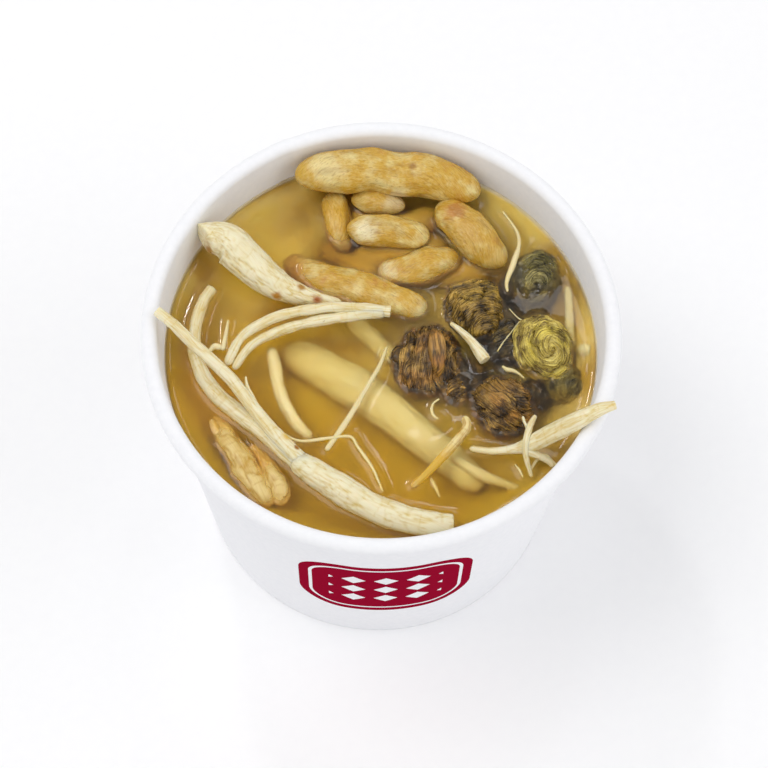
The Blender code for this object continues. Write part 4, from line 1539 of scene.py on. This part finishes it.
        for name, kind, first, second in (
                ("swell", "SUBTRACT", "noise", 0.5),
                ("swell", "MULTIPLY", "swell", "uneven"),
                ("swell", "ADD", 1.0, "swell"),
                ("ends", "MULTIPLY", "share", math.pi),
                ("ends", "SINE", "ends", 0.0),
                ("ends", "POWER", "ends", 0.4),
                ("ends", "ADD", "ends", 0.15),
                ("width", "MULTIPLY", "swell", "ends"),
                ("round", "MULTIPLY", "noise", 0.01),
                ("hollow", "MAXIMUM", "shade", 0.0)):
            values[name] = add_node(tree, "ShaderNodeMath", {"operation": kind}, {
                0: values.get(first, first), 1: values.get(second, second)}).outputs[0]
        profile = add_node(tree, "GeometryNodeCurvePrimitiveCircle", None, {
            "Resolution": given["Sides"], "Radius": given["Fibre Radius"]})
        swept = add_node(tree, "GeometryNodeCurveToMesh", None, {
            "Curve": shade.outputs["Geometry"], "Profile Curve": profile.outputs["Curve"],
            "Fill Caps": True, "Scale": values["width"]})
        skin = add_node(tree, "ShaderNodeCombineXYZ", None, {
            "X": run.outputs["Run"], "Y": values["round"]})
        mapped = add_node(tree, "GeometryNodeStoreNamedAttribute",
                          {"data_type": "FLOAT2", "domain": "CORNER"}, {
                              "Geometry": swept.outputs["Mesh"], "Name": SKIN_MAP,
                              "Value": skin.outputs["Vector"]})
        hollow = add_node(tree, "GeometryNodeStoreNamedAttribute",
                          {"data_type": "FLOAT", "domain": "POINT"}, {
                              "Geometry": mapped.outputs["Geometry"], "Name": CAVITY,
                              "Value": values["hollow"]})
        real = add_node(tree, "GeometryNodeRealizeInstances", None, {
            "Geometry": hollow.outputs["Geometry"]})
        dressed = add_node(tree, "GeometryNodeSetMaterial", None, {
            "Geometry": real.outputs["Geometry"], "Material": given["Finish"]})
        add_node(tree, "NodeGroupOutput", None, {"Geometry": dressed.outputs["Geometry"]})
        return tree

    def unit(self, polar: np.ndarray, around: np.ndarray) -> np.ndarray:
        """Places on a ball of radius 1 at an angle from its axis and an angle round it."""
        return np.stack([np.sin(polar) * np.cos(around), np.sin(polar) * np.sin(around),
                         np.cos(polar)], axis=1)

    def relief(self, coil: Coil, polar: np.ndarray, around: np.ndarray,
               seed: int) -> Tuple[np.ndarray, np.ndarray]:
        """Depth of the folds and fibres at places on the ball.

        Args:
            coil: the coil.
            polar: angle from the winding axis.
            around: angle round it.
            seed: the draw.

        Returns:
            The offset from the smooth ball in millimetres, and the cavity from 0 to 1.
        """
        size = coil.size
        unit = self.unit(polar, around)
        warp = layered_noise(unit * 1.4 + 3.0 * seed, seed, 2)
        phase = coil.turns * polar / math.pi + coil.starts * around / (2.0 * math.pi) + (
            self.fold_warp * warp)
        part = phase - np.floor(phase)
        fold = np.minimum(part / self.fold_lip, 1.0) * (1.0 - 0.6 * part)
        scale = size / self.plain_size
        lump = layered_noise(unit * 2.1 + 1.7 * seed, seed + 3, 2)
        lane = np.stack([unit[:, 0] * size / self.fibre_run, unit[:, 1] * size / self.fibre_run,
                         (polar + 0.12 * warp) * size / self.fibre_width], axis=1)
        coarse = layered_noise(lane, seed + 7, 3)
        gully = creases(coarse, self.gully)
        offset = (scale * (self.swell + self.fold_depth * (fold - 1.0) + self.lump_depth * (lump - 0.3))
                  + self.fibre_depth * (coarse - 0.6) - 0.6 * self.fibre_depth * gully)
        cavity = np.clip(1.0 - fold / 0.55, 0.0, 1.0) + 0.45 * gully
        return offset, np.clip(cavity, 0.0, 1.0)

    def placed(self, coil: Coil, local: np.ndarray) -> np.ndarray:
        """Turn and move points of a coil to its place.

        Args:
            coil: the coil.
            local: points in its own axes, in millimetres.

        Returns:
            The places in metres.
        """
        turn = np.array(Euler((math.radians(coil.lean), 0.0, math.radians(coil.heading))).to_matrix())
        x, y, rise = coil.centre
        return (local @ turn.T + np.array([x, y, self.level_mm + rise])) * MM

    def on_ball(self, coil: Coil, polar: np.ndarray, around: np.ndarray,
                offset: np.ndarray) -> np.ndarray:
        """Places at angles on the ball, moved out.

        Args:
            coil: the coil.
            polar: angle from the winding axis.
            around: angle round it.
            offset: how far out, in millimetres.

        Returns:
            The places in metres.
        """
        return self.placed(coil, self.unit(polar, around) * (np.array(coil.radii) + offset[:, None]))

    def ball(self, coil: Coil, name: str, material: Material,
             seed: int) -> Piece:
        """Build the crumpled ball, whose folds overlap like wound leaves.

        Args:
            coil: the coil.
            name: the object's name.
            material: its finish.
            seed: the draw of its relief.

        Returns:
            The object.
        """
        size = coil.size
        rows = int(math.pi * size / self.grain)
        cols = 2 * rows
        polar = np.repeat(math.pi * np.arange(1, rows) / rows, cols)
        around = np.tile(2.0 * math.pi * np.arange(cols) / cols, rows - 1)
        polar = np.concatenate([polar, [0.0, math.pi]])
        around = np.concatenate([around, [0.0, 0.0]])
        offset, cavity = self.relief(coil, polar, around, seed)
        verts = self.on_ball(coil, polar, around, offset)
        top = (rows - 1) * cols
        faces = ring_faces(rows - 1, cols, ALONG_FIRST)
        faces += fan_faces(top, 0, cols)
        faces += fan_faces(top + 1, top - cols, cols, inward=True)
        uvs = np.stack([around * np.sin(polar) * size, polar * size], axis=1) * MM
        turn = 2.0 * math.pi * np.sin(polar) * size * MM + 1.0e-6
        return mesh_object(name, verts, faces, material, uvs, cavity, 0, turn)

    def fibre_paths(self, coil: Coil, seed: int) -> Tuple[np.ndarray, List[Tuple[int, int]]]:
        """Middle lines of the loose fibres, which follow the folds.

        Args:
            coil: the coil.
            seed: the draw.

        Returns:
            Places in metres, and the edges that join them.
        """
        draw = np.random.default_rng(seed)
        places: List[np.ndarray] = []
        edges: List[Tuple[int, int]] = []
        total = 0
        for _ in range(coil.fibres):
            polar_0 = math.acos(draw.uniform(-self.pole_cosine, self.pole_cosine))
            reach = draw.uniform(*self.fibre_reach) / (coil.size * max(math.sin(polar_0), 0.35))
            count = int(max(8, reach * coil.size / self.fibre_step))
            around = draw.uniform(0.0, 2.0 * math.pi) + np.linspace(0.0, reach, count)
            drift = -(around - around[0]) * coil.starts / (2.0 * coil.turns)
            slant = draw.uniform(-self.fibre_slant, self.fibre_slant)
            polar = polar_0 + drift + slant * (around - around[0])
            polar = np.clip(polar, self.pole_gap, math.pi - self.pole_gap)
            offset, _ = self.relief(coil, polar, around, seed)
            lift = draw.uniform(*self.fibre_lift)
            arch = self.fibre_arch * draw.uniform() ** 3
            lift = lift + arch * np.sin(np.linspace(0.0, math.pi, count))
            places.append(self.on_ball(coil, polar, around, offset + lift))
            edges.extend((total + i, total + i + 1) for i in range(count - 1))
            total += count
        return np.vstack(places), edges

    def swept(self, name: str, path: np.ndarray, edges: List[Tuple[int, int]],
              tree: Tree, values: Dict[str, object]) -> Piece:
        """Sweep the paths and make the result a plain mesh.

        Args:
            name: the piece's name.
            path: places in metres.
            edges: the pairs of places that a fibre joins.
            tree: the node tree.
            values: the tree's inputs by name.

        Returns:
            The mesh object.
        """
        guide = bpy.data.meshes.new(name + "_path")
        guide.from_pydata(path.tolist(), edges, [])
        made = bpy.data.objects.new(name, guide)
        bpy.context.scene.collection.objects.link(made)
        sweep = made.modifiers.new("Sweep", "NODES")
        sweep.node_group = tree
        for item in tree.interface.items_tree:
            if item.in_out == "INPUT" and item.name in values:
                sweep[item.identifier] = values[item.name]
        graph = bpy.context.evaluated_depsgraph_get()
        result = bpy.data.meshes.new_from_object(made.evaluated_get(graph))
        made.modifiers.remove(sweep)
        made.data = result
        result.name = name
        result.shade_smooth()
        return made

    def build(self) -> List[Piece]:
        """Build each coil and hand it over."""
        tree = self.sweep_tree()
        finishes = self.finishes()
        made = []
        for index, coil in enumerate(self.coils + self.sunk):
            finish = finishes[coil.herb]
            seed = 3 + index
            ball = self.ball(coil, coil.node + "_ball", finish, seed)
            path, edges = self.fibre_paths(coil, seed)
            fibres = self.swept(coil.node + "_fibres", path, edges, tree, {
                "Fibre Radius": self.fibre_radius * MM, "Seed": seed, "Finish": finish})
            parts = [ball, fibres]
            if coil.node in self.leaves:
                leaf = self.leaves[coil.node]
                parts.append(leaf.build(coil.node + "_leaf", self.level_mm, finish, seed))
            piece = join_objects(parts)
            if coil in self.coils:
                hand_over(piece, coil.slot, coil.node)
                made.append(piece)
            else:
                hand_over(piece, coil.slot)
        return made


@dataclass
class SunkPieces:
    """Pieces that lie wholly under the broth."""
    level_mm: float
    limbs: Dict[str, Tuple[Limb, ...]] = field(default_factory=lambda: {
        "sunk_broad_root": (
            Limb((
                (-24.0, 2.0, -7.6, 4.0), (-15.0, -3.0, -6.4, 5.2), (-4.0, -9.8, -5.6, 5.4),
                (6.5, -18.2, -5.2, 4.8), (16.0, -25.8, -5.0, 4.2), (25.0, -34.0, -6.0, 3.4)),
                THICK_RELIEF, 0.7, grain=0.5),
            Limb((
                (-8.0, 9.6, -5.6, 2.2), (-2.0, 4.6, -5.2, 2.6), (3.5, -1.0, -5.8, 2.0)),
                THICK_RELIEF, 0.8, grain=0.5),
        ),
        "sunk_front_root": (
            Limb((
                (17.5, -26.8, -2.6, 1.0), (24.5, -31.2, -2.8, 1.4), (35.0, -34.6, -4.5, 1.0)),
                THIN_RELIEF, grain=0.3),
        ),
        "sunk_right_root": (
            Limb((
                (45.8, 20.0, -2.6, 1.0), (45.9, 8.0, -2.4, 1.3), (45.6, -3.0, -3.6, 1.3)),
                THIN_RELIEF, grain=0.3),
            Limb((
                (47.6, 2.6, -2.4, 1.9), (51.0, 1.9, -2.0, 1.9)), THIN_RELIEF, 1.0,
                End.ROUND, End.CUT, grain=0.3),
        ),
    })

    def build(self) -> None:
        """Build each sunk root and hand it over."""
        finish = RootSkin("sunk_root_skin", light="EFEACB", shade="E8DFBC", amber="E0D4A2",
                          spots=0.1, wet_share=0.0, veil_clear_mm=-0.5, veil_depth_mm=9.5,
                          stain="F8F4DC").material(self.level_mm * MM)
        for index, (name, limbs) in enumerate(self.limbs.items()):
            hand_over(built(name, limbs, self.level_mm, finish, 301 + 17 * index, 1), "root")


@dataclass
class FineHairs:
    """Root hairs and torn ends, too fine for the solids: fibres that lie on the broth."""
    level_mm: float
    hairs: Tuple[Limb, ...] = (
        Limb(((-32.1, -11.0, 5.6, 0.25), (-31.6, -13.2, 4.4, 0.4), (-30.0, -15.7, 3.4, 0.45),
              (-27.2, -19.8, 1.8, 0.45), (-23.5, -23.0, 0.8, 0.4), (-18.6, -25.1, 0.35, 0.4),
              (-11.5, -24.3, 0.9, 0.4), (-6.7, -23.6, 0.35, 0.4), (-4.8, -26.2, 0.3, 0.38),
              (-1.3, -31.3, 0.3, 0.35), (0.2, -34.5, 0.2, 0.3), (1.5, -37.4, -0.2, 0.2)),
             HAIR_RELIEF, grain=0.12),
        Limb(((29.2, 39.2, 0.2, 0.3), (32.6, 33.7, 0.5, 0.4), (33.3, 29.5, 0.8, 0.5),
              (32.1, 24.7, 0.9, 0.8), (30.4, 19.4, 0.6, 0.5), (30.6, 16.6, 0.2, 0.3)),
             HAIR_RELIEF, grain=0.14),
        Limb(((29.4, -3.6, 0.3, 0.3), (30.6, -4.6, 0.5, 0.5), (32.1, -4.9, 0.5, 0.45),
              (33.5, -5.6, 0.4, 0.3), (34.9, -6.8, 0.2, 0.2)), HAIR_RELIEF, grain=0.12),
        Limb(((33.6, 8.6, 0.4, 0.15), (31.6, 5.4, 0.8, 0.22), (29.6, 2.6, 0.6, 0.2),
              (28.2, 0.2, 0.2, 0.15)), HAIR_RELIEF, grain=0.1),
        Limb(((31.0, 12.0, 0.3, 0.15), (33.4, 9.2, 0.7, 0.2), (36.4, 7.8, 0.5, 0.15)),
             HAIR_RELIEF, grain=0.1),
        Limb(((14.4, -12.9, 0.3, 0.2), (13.0, -14.2, 0.5, 0.3), (12.6, -15.9, 0.5, 0.32),
              (13.1, -17.4, 0.4, 0.3), (14.4, -18.2, 0.2, 0.2)), HAIR_RELIEF, grain=0.1),
        Limb(((-37.4, 6.4, 0.6, 0.3), (-37.7, 2.1, 1.1, 0.55), (-38.2, -2.4, 1.6, 0.6)),
             HAIR_RELIEF, grain=0.14),
        Limb(((-41.6, -2.6, 1.0, 0.4), (-40.2, -1.2, 1.2, 0.8), (-38.4, -1.7, 1.4, 0.7)),
             HAIR_RELIEF, grain=0.16),
        Limb(((12.6, -33.2, -0.4, 0.3), (13.8, -35.6, -0.4, 0.5), (15.0, -38.2, -0.8, 0.25)),
             HAIR_RELIEF, grain=0.14),
        Limb(((36.2, -31.0, 0.4, 0.3), (37.9, -28.4, 1.2, 0.35), (39.8, -27.3, 1.5, 0.35),
              (41.7, -28.8, 1.0, 0.3), (43.5, -30.4, 0.3, 0.2)), HAIR_RELIEF, grain=0.1),
        Limb(((32.6, -29.4, 0.3, 0.2), (33.8, -31.0, 0.4, 0.3), (34.6, -32.8, 0.2, 0.2)),
             HAIR_RELIEF, grain=0.1),
    )

    def build(self) -> Piece:
        """Build the hairs as one piece."""
        finish = RootSkin("root_hair_skin", light="F3E6BC", streaks=0.1, spots=0.0).material(
            self.level_mm * MM)
        piece = built("fine_hairs", self.hairs, self.level_mm, finish, 501, 3)
        hand_over(piece, "root")
        return piece


@dataclass
class MeatBed:
    """Strips that lie under the ones that show."""
    level_mm: float
    limbs: Tuple[Limb, ...] = (
        Limb(((-9.0, 38.2, -3.3, 2.8), (-2.0, 36.4, -3.4, 3.0), (8.0, 36.8, -3.4, 3.2),
              (13.4, 40.2, -3.4, 3.2)), STRIP_RELIEF, 0.9, grain=0.5),
        Limb(((-8.0, 27.8, -6.0, 3.0), (0.0, 27.4, -5.0, 4.0), (9.0, 29.0, -4.4, 4.2),
              (15.4, 31.8, -4.2, 3.4)), STRIP_RELIEF, 0.9, grain=0.5),
        Limb(((-15.0, 31.0, -7.4, 2.4), (-9.0, 26.4, -6.8, 3.2), (-1.0, 21.6, -6.4, 3.2)),
             STRIP_RELIEF, 0.9, grain=0.5),
        Limb(((12.0, 22.0, -6.4, 3.0), (20.0, 24.0, -6.0, 3.8), (26.0, 22.0, -6.4, 3.0)),
             STRIP_RELIEF, 0.9, grain=0.5),
    )

    def build(self) -> None:
        """Build the sunk strips as one piece."""
        finish = CookedMeat("sunk_cooked_meat", pale="E6CA6A", ochre="D4B24A", blush="BE983A",
                            shade_line_share=0.1).material(self.level_mm * MM)
        hand_over(built("sunk_meat", self.limbs, self.level_mm, finish, 401, 5), "meat")


@dataclass
class Broth:
    """The liquid: flat, drawn up where it wets the wall and the pieces."""
    level_mm: float
    tub: Tub
    reach: float = 0.35                # how far it runs into the wall
    grain: float = 0.5
    segments: int = 480
    climb: float = 0.55                # height of the meniscus
    climb_run: float = 0.8
    climb_end: float = 6.0             # where the meniscus has died out
    touching: float = 0.05             # a nearer piece counts as this far off
    cloud_edge: float = 40.0           # radius at which the cloud starts to come up
    ripple: float = 0.035
    ripple_size: float = 11.0
    shoulder: float = 3.0              # depth of the first ring under the surface
    clearance: float = 0.02            # over the base disc
    ripple_seed: int = 77
    cloud_rings: int = 70
    cloud_segments: int = 160
    cloud_top: float = 0.6             # depth of the cloud at the wall
    cloud_gap: float = 0.05            # between the cloud and the wall
    cloud_base: float = 0.1            # and between it and the base disc
    cloud_sway: float = 1.2
    cloud_sway_size: float = 14.0
    cloud_seed: int = 91

    def surface_height(self, x: float, y: float, tree: BVHTree) -> float:
        """Height over the level at a place, in millimetres.

        Args:
            x: place across, in millimetres.
            y: place along, in millimetres.
            tree: the surfaces of the pieces, in metres.

        Returns:
            The height.
        """
        wall = self.tub.inner_radius(self.level_mm) - math.hypot(x, y)
        height = self.climb * math.exp(-max(wall, 0.0) / self.climb_run)
        near, _, _, away = tree.find_nearest(Vector((x, y, self.level_mm)) * MM, self.climb_end * MM)
        if near is not None:
            distance = away / MM
            below = self.level_mm - near.z / MM
            standing = min(max(1.0 - below / max(distance, self.touching), 0.0), 1.0)
            last = math.exp(-self.climb_end / self.climb_run)
            height += self.climb * standing * (math.exp(-distance / self.climb_run) - last)
        return height

    def build(self, pieces: Iterable[Piece]) -> Piece:
        """Build the liquid round the pieces.

        Args:
            pieces: what stands in it.

        Returns:
            The closed body of liquid.
        """
        corners: List[Vector] = []
        polygons: List[Face] = []
        for piece in pieces:
            offset = len(corners)
            corners.extend(v.co.copy() for v in piece.data.vertices)
            polygons.extend(tuple(offset + i for i in p.vertices) for p in piece.data.polygons)
        tree = BVHTree.FromPolygons(corners, polygons)
        outer = self.tub.inner_radius(self.level_mm) + self.reach
        rings = int(outer / self.grain)
        segments = self.segments
        flat = disc(outer, rings, segments)
        waves = layered_noise(flat / self.ripple_size + 4.0, self.ripple_seed, 2) * self.ripple
        heights = [self.surface_height(x, y, tree) for x, y, _ in flat.tolist()]
        flat[:, 2] = self.level_mm + waves + np.array(heights)
        bottom = self.tub.base_top + self.clearance
        lower = [circle(self.tub.inner_radius(height) + self.reach, height, segments) for height in (
            self.level_mm - self.shoulder, 0.5 * (self.level_mm + bottom), bottom)]
        body = np.vstack([flat] + lower + [[[0.0, 0.0, bottom]]])
        pole = len(body) - 1
        faces = fan_faces(0, 1, segments)
        faces += ring_faces(rings + len(lower), segments, ALONG_FIRST, first=1)
        faces += fan_faces(pole, pole - segments, segments, inward=True)
        return mesh_object("broth_liquid", body * MM, faces, ClearBroth().material())

    def build_cloud(self) -> Piece:
        """Build the cloudy mass under the clear layer; it comes up along the wall."""
        cloud = Cloud()
        rings, segments = self.cloud_rings, self.cloud_segments
        outer = self.tub.inner_radius(self.level_mm - self.cloud_top) - self.cloud_gap
        upper = disc(outer, rings, segments)
        radius = np.hypot(upper[:, 0], upper[:, 1])
        edge = eased(np.clip((radius - self.cloud_edge) / (outer - self.cloud_edge), 0.0, 1.0))
        depth = cloud.depth_mm + (self.cloud_top - cloud.depth_mm) * edge
        sway = self.cloud_sway * layered_noise(upper / self.cloud_sway_size, self.cloud_seed)
        upper[:, 2] = self.level_mm - depth + sway * (1.0 - edge)
        bottom = self.tub.base_top + self.cloud_base
        lower = circle(self.tub.inner_radius(bottom) - self.cloud_base, bottom, segments)
        body = np.vstack([upper, lower, [[0.0, 0.0, bottom]]])
        pole = len(body) - 1
        faces = fan_faces(0, 1, segments)
        faces += ring_faces(rings + 1, segments, ALONG_FIRST, first=1)
        faces += fan_faces(pole, pole - segments, segments, inward=True)
        return mesh_object("broth_cloud", body * MM, faces, cloud.material())


@dataclass
class Studio:
    """Camera, soft lights and a pale floor."""
    elevation: float = 66.69           # degrees over the horizon
    distance: float = 690.0
    roll: float = 1.954                # degrees
    aim: Triple = (1.02, 0.0, 54.4)
    lens: float = 120.3                # millimetres on a 36 mm sensor
    floor_size: float = 6.0
    ambient: float = 0.80              # strength of the white surroundings
    flagged: float = 0.12              # and of the dark flag that keeps haze off the broth
    flag_edge: Tuple[float, float] = (0.86, 0.975)     # cosines where it starts and is full
    lit: Triple = (0.0, 0.0, 0.06)     # metres; what the lamps point at
    lamps: Tuple[Tuple[str, Triple, float, float, Triple], ...] = (   # place, size, power, colour
        ("key", (-0.50, 0.02, 1.15), 0.60, 3.8, (1.0, 0.99, 0.97)),
        ("fill", (0.95, -0.15, 0.80), 0.9, 2.4, (0.99, 0.99, 1.0)),
        ("window", (0.115, 0.50, 0.97), 0.11, 0.18, (0.92, 0.94, 1.0)),
        ("film", (0.055, 0.40, 0.97), 0.045, 0.06, (0.93, 0.91, 1.0)),
        ("glint", (-0.30, 0.55, 1.0), 0.07, 0.7, (1.0, 1.0, 1.0)),
    )

    def camera(self) -> None:
        """Stand the camera in front of the tub and above it."""
        lift = math.radians(self.elevation)
        eye = Vector((0.0, -self.distance * math.cos(lift), self.distance * math.sin(lift)))
        ahead = (Vector(self.aim) - eye).normalized()
        right = ahead.cross(Vector((0.0, 0.0, 1.0))).normalized()
        up = right.cross(ahead)
        turn = math.radians(self.roll)
        axis_x = right * math.cos(turn) + up * math.sin(turn)
        axis_y = up * math.cos(turn) - right * math.sin(turn)
        lens = bpy.data.cameras.new("camera")
        lens.sensor_width = 36.0
        lens.lens = self.lens
        lens.clip_start = 0.01
        seen = bpy.data.objects.new("camera", lens)
        seen.matrix_world = Matrix.Translation(eye * MM) @ Matrix(
            (axis_x, axis_y, -ahead)).transposed().to_4x4()
        bpy.context.scene.collection.objects.link(seen)
        bpy.context.scene.camera = seen

    def lamp(self, name: str, place: Triple, size: float, power: float, colour: Triple) -> None:
        """Hang a square soft box that points at the tub.

        Args:
            name: the lamp's name.
            place: where it hangs, in metres.
            size: its side in metres.
            power: its power in watts.
            colour: its linear colour.
        """
        light = bpy.data.lights.new(name, "AREA")
        light.size = size
        light.energy = power
        light.color = colour
        hung = bpy.data.objects.new(name, light)
        hung.location = place
        aim = Vector(self.lit) - Vector(place)
        hung.rotation_euler = aim.to_track_quat("-Z", "Y").to_euler()
        bpy.context.scene.collection.objects.link(hung)

    def build(self) -> None:
        """Set up the whole studio."""
        self.camera()
        world = bpy.data.worlds.new("studio")
        world.use_nodes = True
        tree = world.node_tree
        sky = tree.nodes["Background"]
        sky.inputs["Color"].default_value = (1.0, 1.0, 1.0, 1.0)
        ray = add_node(tree, "ShaderNodeTexCoord").outputs["Generated"]
        lift = math.radians(self.elevation)
        toward = add_node(tree, "ShaderNodeVectorMath", {"operation": "DOT_PRODUCT"}, {
            0: ray, 1: (0.0, math.cos(lift), math.sin(lift))}).outputs["Value"]
        flag = add_node(tree, "ShaderNodeMapRange", {"interpolation_type": "SMOOTHSTEP"}, {
            "Value": toward, "From Min": self.flag_edge[0], "From Max": self.flag_edge[1],
            "To Min": self.ambient, "To Max": self.flagged})
        tree.links.new(flag.outputs["Result"], sky.inputs["Strength"])
        bpy.context.scene.world = world
        for lamp in self.lamps:
            self.lamp(*lamp)
        bpy.ops.mesh.primitive_plane_add(size=self.floor_size)
        floor = bpy.context.object
        floor.name = "floor"
        floor.data.materials.append(PaleFloor().material())
        floor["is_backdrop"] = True
        bpy.context.scene.view_settings.view_transform = "Standard"


def main() -> Dict[str, Sequence[Sequence[float]]]:
    """Build every piece around the frame.
    """
    logging.basicConfig(level=logging.INFO, format="%(name)s: %(message)s")
    for old in list(bpy.data.objects):
        bpy.data.objects.remove(old)
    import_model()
    solids_box = [list(corner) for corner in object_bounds()]
    level_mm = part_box("broth")[1][2] / MM
    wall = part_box("tub_wall")
    tub = Tub(rim_radius=wall[1][0] / MM, height=wall[1][2] / MM)
    Studio().build()
    tub.dress()
    pieces = MeatStrips(level_mm).build() + Roots(level_mm).build() + HerbCoils(level_mm).build()
    SunkPieces(level_mm).build()
    MeatBed(level_mm).build()
    pieces.append(FineHairs(level_mm).build())
    broth = Broth(level_mm, tub)
    hand_over(broth.build(pieces), "broth", "broth")
    hand_over(broth.build_cloud(), "broth")
    return {"cad": solids_box}


if __name__ == "__main__":
    sizes = main()
    sizes["visual"] = [list(corner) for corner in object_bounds()]
